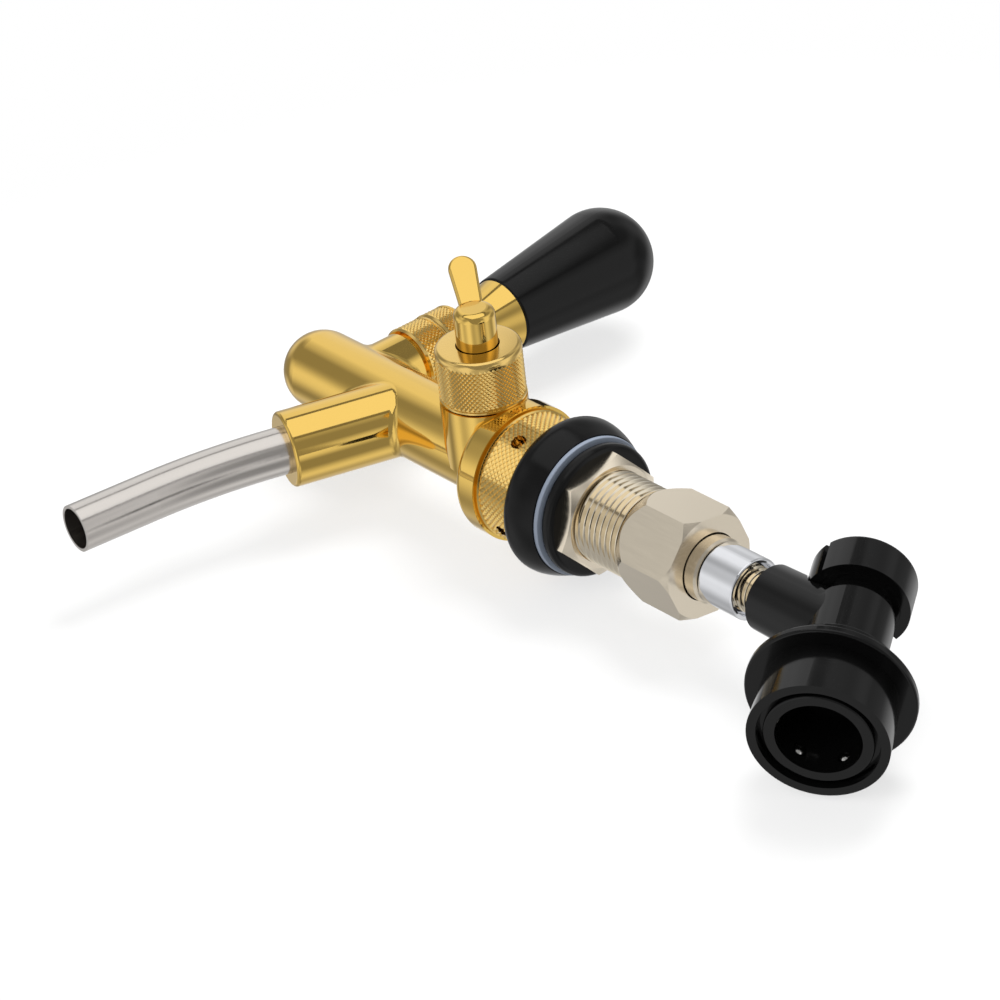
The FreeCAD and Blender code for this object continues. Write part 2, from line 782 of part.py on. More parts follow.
def make_valve():
    """The plunger the lever tip pushes, with its seal and nut behind the seat."""
    seal_front = d.seat_y + d.easy_fit
    seal_rear = seal_front + d.valve_seal_thick
    nut_rear = seal_rear + d.valve_nut_thick
    plunger = turned("Plunger", [
        (0, d.lever_y - d.plunger_front),
        (d.front_bore_radius - d.easy_fit, d.lever_y - d.plunger_front),
        (d.front_bore_radius - d.easy_fit, d.lever_y + d.plunger_rear),
        (d.stem_radius, d.lever_y + d.plunger_rear),
        (d.stem_radius, seal_front),
        (d.spigot_radius, seal_front),
        (d.spigot_radius, nut_rear + d.rim_chamfer),
        (0, nut_rear + d.rim_chamfer),
    ])
    place(plunger, REAR)
    slot = add("Part::Box", "PlungerSlot")
    bind(slot, "Length", d.front_bore_radius * 2)
    bind(slot, "Width", d.slot_width)
    bind(slot, "Height", d.front_bore_radius)
    slot_y = d.lever_y + d.tip_drop * sine(d.lever_lean) - d.slot_width / 2
    place(slot, x=-d.front_bore_radius, y=slot_y, z=d.slot_floor)
    keep(cut("ValvePlunger", plunger, slot), "valve_plunger")
    seal = tube_ring("ValveSeal", d.spigot_radius, d.valve_seal_radius, seal_front, seal_rear)
    soften(seal, "Fillet", d.rim_chamfer, (d.valve_seal_radius, seal_front))
    keep(place(seal, REAR), "valve_seal")
    nut = cut("ValveNut", hexagon("ValveNutBar", d.valve_nut_flats, seal_rear, nut_rear, REAR),
              cylinder("ValveNutHole", d.spigot_radius, seal_rear - d.cut_past,
                       nut_rear + d.cut_past, REAR))
    keep(nut, "valve_nut")


def make_flow_control():
    """Sliding cone in the bore, the eccentric spindle that moves it, its cap and small lever."""
    front = d.flow_y - d.cone_front
    rear = d.flow_y + d.cone_rear
    slope = (d.cone_large - d.cone_small) / (d.cone_front + d.cone_rear)
    half = d.pin_radius + d.pin_fit
    before = d.cone_small + slope * (d.cone_front - half)
    behind = d.cone_small + slope * (d.cone_front + half)
    plug = turned("Compensator", [
        (0, front),
        (d.cone_small, front),
        (before, d.flow_y - half),
        (d.groove_floor, d.flow_y - half),
        (d.groove_floor, d.flow_y + half),
        (behind, d.flow_y + half),
        (d.cone_large, rear),
        (0, rear),
    ])
    soften(plug, "Fillet", d.rim_chamfer * 2, (d.cone_small, front))
    keep(place(plug, REAR), "compensator_cone")

    groove = d.spindle_radius - d.spindle_seal_wire * 2 + d.thread_fit
    groove_half = d.spindle_seal_wire + d.thread_fit
    seat = d.flow_neck_top + d.easy_fit
    shaft = turned("Spindle", [
        (0, d.spindle_end),
        (d.spindle_radius, d.spindle_end),
        (d.spindle_radius, d.spindle_seal_x - groove_half),
        (groove, d.spindle_seal_x - groove_half),
        (groove, d.spindle_seal_x + groove_half),
        (d.spindle_radius, d.spindle_seal_x + groove_half),
        (d.spindle_radius, seat),
        (d.spindle_flange_radius, seat),
        (d.spindle_flange_radius, seat + d.spindle_flange_thick),
        (d.stem_hub_radius, seat + d.spindle_flange_thick),
        (d.stem_hub_radius, d.stem_hub_top),
        (0, d.stem_hub_top),
    ])
    place(shaft, SIDE, y=d.flow_y)
    pin = cylinder("EccentricPin", d.pin_radius, d.pin_end, d.spindle_end + d.cut_past, SIDE,
                   y=d.flow_y, z=d.pin_offset)
    keep(fuse("FlowSpindle", shaft, pin), "flow_spindle")
    keep(torus("SpindleSeal", groove + d.spindle_seal_wire, d.spindle_seal_wire, SIDE,
               y=d.flow_y, x=d.spindle_seal_x), "flow_spindle_o_ring")
    neck_bore = d.flow_neck_radius + d.thread_fit
    cap = turned("FlowCap", [
        (neck_bore, d.cap_low),
        (d.cap_radius, d.cap_low),
        (d.cap_radius, d.cap_top - d.cap_chamfer_high),
        (d.cap_radius - d.cap_chamfer_wide, d.cap_top),
        (d.cap_hole_radius, d.cap_top),
        (d.cap_hole_radius, d.cap_roof),
        (neck_bore, d.cap_roof),
    ])
    soften(cap, "Chamfer", d.rim_chamfer, (d.cap_radius, d.cap_low))
    keep(place(cap, SIDE, y=d.flow_y), "flow_cap")

    hub = turned("FlowHub", [
        (d.stem_hub_radius + d.thread_fit, d.hub_low),
        (d.hub_radius, d.hub_low),
        (d.hub_radius, d.hub_top),
        (0, d.hub_top),
        (0, d.hub_socket_top),
        (d.stem_hub_radius + d.thread_fit, d.hub_socket_top),
    ])
    soften(hub, "Fillet", d.hub_round, (d.hub_radius, d.hub_top))
    place(hub, SIDE, y=d.flow_y)
    blade = add("PartDesign::Body", "FlowBlade")
    plane = [f for f in blade.Origin.OriginFeatures if f.Role == "XY_Plane"][0]
    shape = blade.newObject("Sketcher::SketchObject", "BladeOutline")
    shape.AttachmentSupport = [(plane, "")]
    shape.MapMode = "FlatFace"
    start = d.stem_hub_radius + d.thread_fit
    low = FreeCAD.Vector(start.number, -d.blade_root_half.number, 0)
    high = FreeCAD.Vector(start.number, d.blade_root_half.number, 0)
    low_end = FreeCAD.Vector(d.blade_length.number, -d.blade_tip_radius.number, 0)
    high_end = FreeCAD.Vector(d.blade_length.number, d.blade_tip_radius.number, 0)
    circle = Part.Circle(FreeCAD.Vector(d.blade_length.number, 0, 0), FreeCAD.Vector(0, 0, 1),
                         d.blade_tip_radius.number)
    shape.addGeometry(Part.LineSegment(high, low), False)
    shape.addGeometry(Part.LineSegment(low, low_end), False)
    shape.addGeometry(Part.ArcOfCircle(circle, -math.pi / 2, math.pi / 2), False)
    shape.addGeometry(Part.LineSegment(high_end, high), False)
    for first, second in ((0, 1), (1, 2), (2, 3), (3, 0)):
        shape.addConstraint(Sketcher.Constraint("Coincident", first, 2, second, 1))
    for edge, point, across, along in (
        (0, 1, start, d.blade_root_half),
        (0, 2, start, -d.blade_root_half),
        (2, 1, d.blade_length, -d.blade_tip_radius),
        (2, 2, d.blade_length, d.blade_tip_radius),
    ):
        hold(shape, "DistanceX", edge, point, across, -2)
        hold(shape, "DistanceY", edge, point, along, -1)
    hold(shape, "DistanceX", 2, 3, d.blade_length, -2)
    pad = blade.newObject("PartDesign::Pad", "BladePad")
    pad.Profile = shape
    pad.Midplane = True
    bind(pad, "Length", d.blade_thick)
    document.recompute()
    edges = []
    for number, edge in enumerate(pad.Shape.Edges, start=1):
        box = edge.BoundBox
        flat = box.ZLength < 1e-6
        if flat and box.XMax > start.number + 1:
            edges.append(f"Edge{number}")
    round_off = blade.newObject("PartDesign::Fillet", "BladeRound")
    round_off.Base = (pad, edges)
    bind(round_off, "Radius", d.blade_round)
    document.recompute()
    rise = FreeCAD.Rotation(FreeCAD.Vector(0, 1, 0), -d.blade_rise.number)
    bearing = FreeCAD.Rotation(FreeCAD.Vector(0, 0, 1), d.blade_bearing.number)
    place(blade, SIDE.multiply(bearing).multiply(rise), x=d.blade_root, y=d.flow_y)
    socket = cylinder("HubSocket", d.stem_hub_radius + d.thread_fit, d.hub_low - d.cut_past,
                      d.hub_socket_top, SIDE, y=d.flow_y)
    lever = fuse("FlowLeverSolid", hub, blade)
    keep(cut("FlowLever", lever, socket), "flow_lever")


def make_shank():
    """Threaded shank with its gasket, knurled collar, wall washers and lock nut."""
    thread = tube_ring("Shank", d.shank_bore, d.thread_radius, shank_front, d.shank_rear)
    soften(thread, "Chamfer", d.shank_chamfer, (d.thread_radius, shank_front),
           (d.thread_radius, d.shank_rear))
    keep(place(thread, REAR), "shank")
    gasket = tube_ring("ShankGasket", d.gasket_bore, d.thread_radius - d.turning_fit,
                       shank_front - d.gasket_thick, shank_front)
    keep(place(gasket, REAR), "shank_gasket")
    collar = tube_ring("ShankCollar", thread_bore, d.knurl_radius, flange_rear, washer_front)
    soften(collar, "Chamfer", d.rim_chamfer, (d.knurl_radius, flange_rear),
           (d.knurl_radius, washer_front))
    place(collar, REAR)
    spanner_y = washer_front - d.spanner_setback
    holes = []
    for number in range(SPANNER_HOLES):
        bearing = SIZES["spanner_bearing"] + number * 360 / SPANNER_HOLES
        turn = FreeCAD.Rotation(FreeCAD.Vector(0, 1, 0), bearing).multiply(SIDE)
        holes.append(cylinder(f"SpannerHole{number + 1}", d.spanner_radius,
                              d.knurl_radius - d.spanner_depth, d.knurl_radius + d.cut_past, turn,
                              y=spanner_y))
    keep(cut("KnurledCollar", collar, *holes), "shank_collar")
    for name, label, radius, low, high, edge in (
        ("FrontWasher", "wall_washer_front", d.front_washer_radius, washer_front, ZERO,
         d.front_washer_round),
        ("MiddleWasher", "wall_washer_middle", d.middle_washer_radius, ZERO, middle_rear,
         d.rim_chamfer / 2),
        ("RearWasher", "wall_washer_rear", d.rear_washer_radius, middle_rear, rear_rear,
         d.rear_washer_round),
    ):
        washer = tube_ring(name, thread_bore, radius, low, high)
        soften(washer, "Fillet", edge, (radius, low), (radius, high))
        keep(place(washer, REAR), label)
    bar = hexagon("LockNutBar", d.lock_nut_flats, rear_rear, lock_rear,
                  bearing_turn(REAR, -SIZES["lock_nut_turn"]))
    corner = d.lock_nut_flats / math.sqrt(3) + d.easy_fit
    slope = (corner - d.lock_nut_face) * math.tan(math.pi / 6)
    form = turned("LockNutForm", [
        (thread_bore, rear_rear),
        (corner, rear_rear),
        (corner, lock_rear - slope),
        (d.lock_nut_face, lock_rear),
        (thread_bore, lock_rear),
    ])
    place(form, REAR)
    keep(common("LockNut", bar, form), "lock_nut")


def make_coupling():
    """Coupling nut, tailpiece and swivel sleeve that join the disconnect to the shank."""
    bar = hexagon("CouplingBar", d.coupling_flats, d.coupling_front, d.coupling_rear,
                  bearing_turn(REAR, -SIZES["coupling_turn"]))
    corner = d.coupling_flats / math.sqrt(3) + d.thread_fit
    lip_front = tail_flange_rear + d.easy_fit
    form = turned("CouplingForm", [
        (thread_bore, d.coupling_front),
        (d.coupling_face_front, d.coupling_front),
        (corner, d.coupling_corner_front),
        (corner, d.coupling_corner_rear),
        (d.coupling_face_rear, d.coupling_rear),
        (d.tail_radius + d.free_gap, d.coupling_rear),
        (d.tail_radius + d.free_gap, lip_front),
        (thread_bore, lip_front),
    ])
    place(form, REAR)
    keep(common("CouplingNut", bar, form), "coupling_nut")
    washer = tube_ring("TailWasher", d.shank_bore, d.tail_flange_radius, d.shank_rear,
                       tail_flange_front)
    keep(place(washer, REAR), "tailpiece_gasket")

    lip_low = d.tail_rear + d.easy_fit
    lip_high = lip_low + d.sleeve_wall
    flare_front = lip_high + d.easy_fit
    flare_rear = flare_front + d.tail_flare_thick
    tail = turned("Tailpiece", [
        (d.tail_bore, tail_flange_front),
        (d.tail_flange_radius, tail_flange_front),
        (d.tail_flange_radius, tail_flange_rear),
        (d.tail_radius, tail_flange_rear),
        (d.tail_radius, d.tail_rear),
        (d.tail_neck_radius, d.tail_rear),
        (d.tail_neck_radius, flare_front),
        (d.tail_flare_radius, flare_front),
        (d.tail_flare_radius, flare_rear),
        (d.tail_neck_bore, flare_rear),
        (d.tail_neck_bore, d.tail_rear),
        (d.tail_bore, d.tail_rear - (d.tail_bore - d.tail_neck_bore)),
    ])
    soften(tail, "Chamfer", d.rim_chamfer, (d.tail_radius, d.tail_rear))
    keep(place(tail, REAR), "tailpiece")
    stub_bore = d.stub_radius + d.thread_fit
    mouth = d.sleeve_rear - d.sleeve_mouth_depth
    sleeve = turned("Sleeve", [
        (d.tail_neck_radius + d.easy_fit, lip_low),
        (d.sleeve_radius, lip_low),
        (d.sleeve_radius, d.sleeve_rear),
        (d.sleeve_mouth_radius, d.sleeve_rear),
        (d.sleeve_mouth_radius, mouth),
        (stub_bore, mouth),
        (stub_bore, lip_high),
        (d.tail_neck_radius + d.easy_fit, lip_high),
    ])
    soften(sleeve, "Chamfer", d.rim_chamfer, (d.sleeve_radius, lip_low))
    soften(sleeve, "Fillet", d.rim_chamfer, (d.sleeve_radius, d.sleeve_rear))
    keep(place(sleeve, REAR), "swivel_sleeve")
    stub_front = flare_rear + d.free_gap
    stub = turned("Stub", [
        (d.tail_neck_bore, stub_front),
        (d.stub_radius, stub_front),
        (d.stub_radius, arm_face),
        (d.stub_root_radius, arm_face),
        (d.stub_root_radius, arm_face + d.stub_root_length),
        (d.tail_neck_bore, arm_face + d.stub_root_length),
    ])
    soften(stub, "Chamfer", d.rim_chamfer, (d.stub_radius, stub_front))
    keep(place(stub, REAR), "thread_stub")


def hang(thing, label):
    """Bring a finished disconnect piece from its own axis to its place behind the tap."""
    return keep(place(thing, HANG, y=d.disconnect_y), label)


def make_disconnect():
    """Keg disconnect: shell with side arm, screw cap and the seals inside."""
    column = turned("Column", [
        (0, d.shell_low),
        (d.shell_radius, d.shell_low),
        (d.shell_radius, d.retainer_low),
        (d.retainer_bore, d.retainer_low),
        (d.retainer_bore, d.retainer_low + d.retainer_thick),
        (d.shell_radius, d.retainer_low + d.retainer_thick),
        (d.shell_radius, d.shoulder_low),
        (d.shoulder_radius, d.shoulder_low),
        (d.shoulder_radius, d.shoulder_high),
        (d.column_radius, d.shoulder_cone),
        (d.column_radius, d.column_top),
        (d.neck_below_cap, d.column_top),
        (d.neck_below_cap, d.top_thread_low),
        (d.top_thread_radius, d.top_thread_low),
        (d.top_thread_radius, d.top_thread_end),
        (0, d.top_thread_end),
    ])
    soften(column, "Fillet", d.rim_chamfer, (d.shoulder_radius, d.shoulder_high),
           (d.shell_radius, d.shell_low), (d.column_radius, d.column_top))
    arm = cone("Arm", d.arm_root_radius, d.arm_end_radius, ZERO, d.arm_length, ARM)
    cap_room = cylinder("CapRoom", d.top_radius + d.free_gap, d.top_low - d.free_gap, d.top_high)
    outside = fuse("DisconnectOutside", column, cut("ArmBelowCap", arm, cap_room))
    holes = [
        cylinder("PostSocket", d.post_radius, d.shell_low - d.cut_past, d.post_roof),
        cylinder("PoppetHole", d.poppet_hole, d.post_roof - d.cut_past, d.shoulder_cone),
        cylinder("ColumnBore", d.column_bore, d.shoulder_low, d.top_thread_end + d.cut_past),
        cylinder("ArmBore", d.arm_bore, ZERO, d.arm_length + d.cut_past, ARM),
        cylinder("StubRoot", d.stub_root_radius + d.thread_fit,
                 d.arm_length - d.stub_root_length - d.free_gap, d.arm_length + d.cut_past, ARM),
    ]
    for number in range(LOCK_BALLS):
        turn = bearing_turn(UP, SIZES["lock_ball_bearing"] + number * 360 / LOCK_BALLS)
        holes.append(cylinder(f"BallHole{number + 1}", d.lock_ball_radius + d.turning_fit,
                              d.post_radius - d.cut_past, d.shell_radius + d.cut_past, turn.multiply(SIDE),
                              z=d.lock_ball_level))
    hang(cut("Disconnect", outside, *holes), "disconnect_body")

    cap = turned("TopCap", [
        (d.top_thread_radius + d.thread_fit, d.top_low),
        (d.top_radius, d.top_low),
        (d.top_radius, d.top_high),
        (0, d.top_high),
        (0, d.top_post_low),
        (d.top_post_radius, d.top_post_low),
        (d.top_post_radius, d.top_roof),
        (d.top_thread_radius + d.thread_fit, d.top_roof),
    ])
    soften(cap, "Fillet", d.top_round, (d.top_radius, d.top_high))
    reach = d.top_radius + d.cut_past
    bars = []
    for name, low in (("CapSlot", d.top_high - d.top_slot_depth), ("CapGroove", d.top_low - d.cut_past)):
        bar = add("Part::Box", name)
        bind(bar, "Length", reach * 2)
        bind(bar, "Width", d.top_slot_width)
        bind(bar, "Height", d.top_high + d.cut_past - low)
        bars.append(place(bar, x=-reach, y=-d.top_slot_width / 2, z=low))
    core = cylinder("CapCore", d.top_radius - d.top_groove_depth, d.top_low - d.cut_past * 2,
                    d.top_high + d.cut_past * 2)
    slots = fuse("CapSlots", bars[0], cut("CapGrooves", bars[1], core))
    place(slots, bearing_turn(UP, SIZES["top_slot_bearing"]))
    hang(cut("DisconnectCap", cap, slots), "disconnect_cap")
    keep(torus("CapSeal", d.top_seal_circle, d.top_seal_wire, HANG, y=d.disconnect_y,
               along=d.top_roof - d.top_seal_wire), "cap_o_ring")
    balls = []
    for number in range(LOCK_BALLS):
        angle = d.lock_ball_bearing + number * 360 / LOCK_BALLS
        balls.append(ball(f"LockBall{number + 1}", d.lock_ball_radius,
                          d.lock_ball_circle * cosine(angle), d.lock_ball_circle * sine(angle),
                          d.lock_ball_level))
    group = add("Part::Compound", "LockBalls")
    group.Links = balls
    hang(group, "locking_balls")
    retainer = tube_ring("Retainer", d.retainer_bore, d.retainer_radius, d.retainer_low,
                         d.retainer_low + d.retainer_thick)
    hang(retainer, "retaining_ring")


def make_release():
    """The sliding sleeve that frees the balls, and its spring."""
    inner = d.shell_radius + d.turning_fit
    sleeve = turned("Release", [
        (d.release_mouth_radius, d.release_low),
        (d.release_low_radius, d.release_low),
        (d.release_skirt_radius, d.release_ring_low),
        (d.release_ring_radius, d.release_ring_low),
        (d.release_ring_radius, d.release_ring_high),
        (d.release_skirt_radius, d.release_ring_high),
        (d.release_skirt_radius, d.release_rim),
        (d.release_pocket_radius, d.release_rim),
        (d.release_pocket_radius, d.release_land),
        (inner, d.release_land),
        (inner, d.release_low + d.release_mouth_depth),
        (d.release_mouth_radius, d.release_low + d.release_mouth_depth),
    ])
    soften(sleeve, "Fillet", d.release_ring_round, (d.release_ring_radius, d.release_ring_low),
           (d.release_ring_radius, d.release_ring_high))
    hang(sleeve, "release_sleeve")
    hang(coil("ReleaseSpring", d.release_spring_radius, d.release_spring_wire, d.release_land,
              d.shoulder_low, d.release_spring_turns), "release_spring")


def coil(name, circle, wire, low, high, turns):
    """A compression spring of six-sided wire, its coil made of flat facets."""
    stations = round(turns.number * COIL_STEPS)
    rise = (high - low - wire * 2).number / stations
    rings = []
    for step in range(stations + 1):
        bearing = 2 * math.pi * step / COIL_STEPS
        ring = []
        for corner in range(HEXAGON):
            angle = 2 * math.pi * corner / HEXAGON
            radius = circle.number + wire.number * math.cos(angle)
            height = (low + wire).number + rise * step + wire.number * math.sin(angle)
            ring.append(FreeCAD.Vector(radius * math.cos(bearing), radius * math.sin(bearing), height))
        rings.append(ring)
    facets = [rings[0], rings[-1]]
    for before, after in zip(rings, rings[1:]):
        for corner in range(HEXAGON):
            following = (corner + 1) % HEXAGON
            facets.append([before[corner], after[corner], after[following]])
            facets.append([before[corner], after[following], before[following]])
    faces = [Part.Face(Part.makePolygon(facet + facet[:1])) for facet in facets]
    spring = add("Part::Feature", name)
    spring.Shape = Part.makeSolid(Part.makeShell(faces))
    if spring.Shape.Volume < 0:
        spring.Shape = spring.Shape.reversed()
    return spring


def make_poppet():
    """The spring-loaded pin that opens when the keg post pushes it."""
    head_low = d.shoulder_low + d.poppet_seal_thick + d.easy_fit
    head_high = head_low + d.poppet_head_thick
    poppet = turned("Poppet", [
        (0, d.poppet_pin_low),
        (d.poppet_pin_radius, d.poppet_pin_low),
        (d.poppet_pin_radius, head_low),
        (d.poppet_head_radius, head_low),
        (d.poppet_head_radius, head_high),
        (d.poppet_stem_radius, head_high),
        (d.poppet_stem_radius, d.poppet_stem_top),
        (0, d.poppet_stem_top),
    ])
    soften(poppet, "Fillet", d.rim_chamfer, (d.poppet_pin_radius, d.poppet_pin_low))
    hang(poppet, "poppet")
    seal = tube_ring("PoppetSeal", d.poppet_pin_radius, d.poppet_head_radius,
                     d.shoulder_low + d.easy_fit, head_low)
    hang(seal, "poppet_seal")
    hang(coil("PoppetSpring", d.poppet_spring_radius, d.poppet_spring_wire, head_high,
              d.top_post_low, d.poppet_spring_turns), "poppet_spring")


def check_and_write():
    """Stop on anything that failed to build, then write one file for each piece."""
    document.recompute()
    for thing in document.Objects:
        if "Invalid" in thing.State or "Error" in thing.State:
            raise RuntimeError(f"{thing.Label} did not build: {thing.State}")
    os.makedirs("parts", exist_ok=True)
    for thing in pieces:
        shape = thing.Shape
        if shape.isNull() or not shape.isValid() or shape.Volume <= 0:
            raise RuntimeError(f"{thing.Label} has no valid solid")
        shape.exportStep(f"parts/{thing.Label}.step")
        print(f"{thing.Label}: {len(shape.Solids)} solid, {shape.Volume:.0f} cubic mm")
    print(f"{len(pieces)} pieces")


write_sheet()
make_casting()
make_spout()
make_lever()
make_valve()
make_flow_control()
make_shank()
make_coupling()
make_disconnect()
make_release()
make_poppet()
check_and_write()
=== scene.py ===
"""Beer tap with flow control, wall shank and keg disconnect, dressed and lit for its picture."""

import logging
import math
from dataclasses import dataclass
from enum import Enum
from typing import Sequence

import bmesh
import bpy
from mathutils import Matrix, Vector


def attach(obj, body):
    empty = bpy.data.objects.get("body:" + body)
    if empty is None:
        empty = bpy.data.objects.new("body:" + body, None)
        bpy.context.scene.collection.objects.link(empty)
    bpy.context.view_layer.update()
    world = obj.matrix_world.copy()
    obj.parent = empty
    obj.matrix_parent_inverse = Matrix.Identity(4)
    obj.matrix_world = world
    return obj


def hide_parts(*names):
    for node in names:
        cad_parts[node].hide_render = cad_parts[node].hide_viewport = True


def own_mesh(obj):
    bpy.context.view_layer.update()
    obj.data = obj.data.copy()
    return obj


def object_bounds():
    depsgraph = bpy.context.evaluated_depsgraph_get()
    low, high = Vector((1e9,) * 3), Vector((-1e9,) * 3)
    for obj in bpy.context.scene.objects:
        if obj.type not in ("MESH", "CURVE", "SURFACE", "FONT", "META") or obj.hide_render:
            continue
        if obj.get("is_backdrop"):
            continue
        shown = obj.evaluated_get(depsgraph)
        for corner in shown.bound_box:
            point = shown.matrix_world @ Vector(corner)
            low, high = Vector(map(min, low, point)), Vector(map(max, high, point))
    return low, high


LOG = logging.getLogger("beer_tap")
MM = 0.001
FULL_TURN = 2.0 * math.pi
QUARTER_TURN = math.pi / 2.0
CENTRE = (0.0, 0.0, 0.0)
UPRIGHT = (0.0, 0.0, 1.0)
WHITE = (1.0, 1.0, 1.0, 1.0)
WELD = 0.001 * MM
SMOOTH_ANGLE = 35.0
NOISE_SPAN = (0.3, 0.7)
GRAIN_DETAIL = 4.0

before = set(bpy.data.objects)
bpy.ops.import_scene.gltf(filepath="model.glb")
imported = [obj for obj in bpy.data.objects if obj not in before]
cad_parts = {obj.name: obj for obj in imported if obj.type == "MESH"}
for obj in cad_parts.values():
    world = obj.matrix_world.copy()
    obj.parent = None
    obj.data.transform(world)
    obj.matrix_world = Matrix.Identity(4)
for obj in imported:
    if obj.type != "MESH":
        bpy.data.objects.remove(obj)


def set_inputs(node: bpy.types.Node, values: dict[str, object]) -> None:
    """Set several unlinked inputs of a node.

    Args:
        node: The node.
        values: Each input's name and value.
    """
    for name, value in values.items():
        node.inputs[name].default_value = value


def new_material(name: str) -> tuple[bpy.types.Material, bpy.types.NodeTree]:
    """Start a node material.

    Args:
        name: The material's name.

    Returns:
        The material and its nodes.
    """
    material = bpy.data.materials.new(name)
    material.use_nodes = True
    return material, material.node_tree


def spread_noise(tree: bpy.types.NodeTree, noise: bpy.types.Node, low: float,
                 high: float) -> bpy.types.NodeSocket:
    """Spread the middle values of a noise over a range.

    Args:
        tree: The nodes.
        noise: The noise.
        low: What a low value becomes.
        high: What a high value becomes.

    Returns:
        The socket with the spread value.
    """
    spread = tree.nodes.new("ShaderNodeMapRange")
    set_inputs(spread, {"From Min": NOISE_SPAN[0], "From Max": NOISE_SPAN[1],
                        "To Min": low, "To Max": high})
    tree.links.new(noise.outputs["Fac"], spread.inputs["Value"])
    return spread.outputs["Result"]


class Lay(Enum):
    """Which way a turned piece's own axis lies in the tap."""

    UP = Matrix.Identity(4)
    REAR = Matrix.Rotation(-QUARTER_TURN, 4, "X")
    SIDE = Matrix.Rotation(QUARTER_TURN, 4, "Y")


class Shell(Enum):
    """How a finish reflects."""

    METAL = 1.0
    PLAIN = 0.0


@dataclass(frozen=True)
class Finish:
    """One surface finish, made of fine noise over the object's own coordinates.

    The grain stretches the noise: a high number draws it out along that axis, after the axes
    are leaned about X by an angle in degrees.
    """

    name: str
    color: tuple[float, float, float]
    shell: Shell
    roughness: float
    roughness_spread: float = 0.03
    mottle: float = 0.04
    grain: tuple[float, float, float] = (1.0, 1.0, 1.0)
    grain_lean: float = 0.0
    grain_scale: float = 180.0
    relief: float = 0.0
    relief_depth: float = 0.00002
    specular: float = 0.5

    def tone(self, share: float) -> tuple[float, float, float, float]:
        """The colour, lighter or darker by a share, as a socket takes it."""
        red, green, blue = (min(part * (1.0 + share), 1.0) for part in self.color)
        return red, green, blue, 1.0

    def make(self) -> bpy.types.Material:
        """Build the finish as a node material.

        Returns:
            The material, ready to put on a piece.
        """
        material, tree = new_material(self.name)
        surface = tree.nodes["Principled BSDF"]
        set_inputs(surface, {"Metallic": self.shell.value, "Specular IOR Level": self.specular})
        place = tree.nodes.new("ShaderNodeTexCoord")
        stretch = tree.nodes.new("ShaderNodeMapping")
        stretch.vector_type = "TEXTURE"
        set_inputs(stretch, {"Rotation": (math.radians(self.grain_lean), 0.0, 0.0),
                             "Scale": self.grain})
        noise = tree.nodes.new("ShaderNodeTexNoise")
        set_inputs(noise, {"Scale": self.grain_scale, "Detail": GRAIN_DETAIL})
        tree.links.new(place.outputs["Object"], stretch.inputs["Vector"])
        tree.links.new(stretch.outputs["Vector"], noise.inputs["Vector"])
        rough = spread_noise(tree, noise, max(self.roughness - self.roughness_spread, 0.0),
                             self.roughness + self.roughness_spread)
        tree.links.new(rough, surface.inputs["Roughness"])
        paint = tree.nodes.new("ShaderNodeMix")
        paint.data_type = "RGBA"
        set_inputs(paint, {"A": self.tone(-self.mottle), "B": self.tone(self.mottle)})
        tree.links.new(noise.outputs["Fac"], paint.inputs["Factor"])
        tree.links.new(paint.outputs["Result"], surface.inputs["Base Color"])
        if self.relief > 0.0:
            bump = tree.nodes.new("ShaderNodeBump")
            set_inputs(bump, {"Strength": self.relief, "Distance": self.relief_depth})
            tree.links.new(noise.outputs["Fac"], bump.inputs["Height"])
            tree.links.new(bump.outputs["Normal"], surface.inputs["Normal"])
        return material


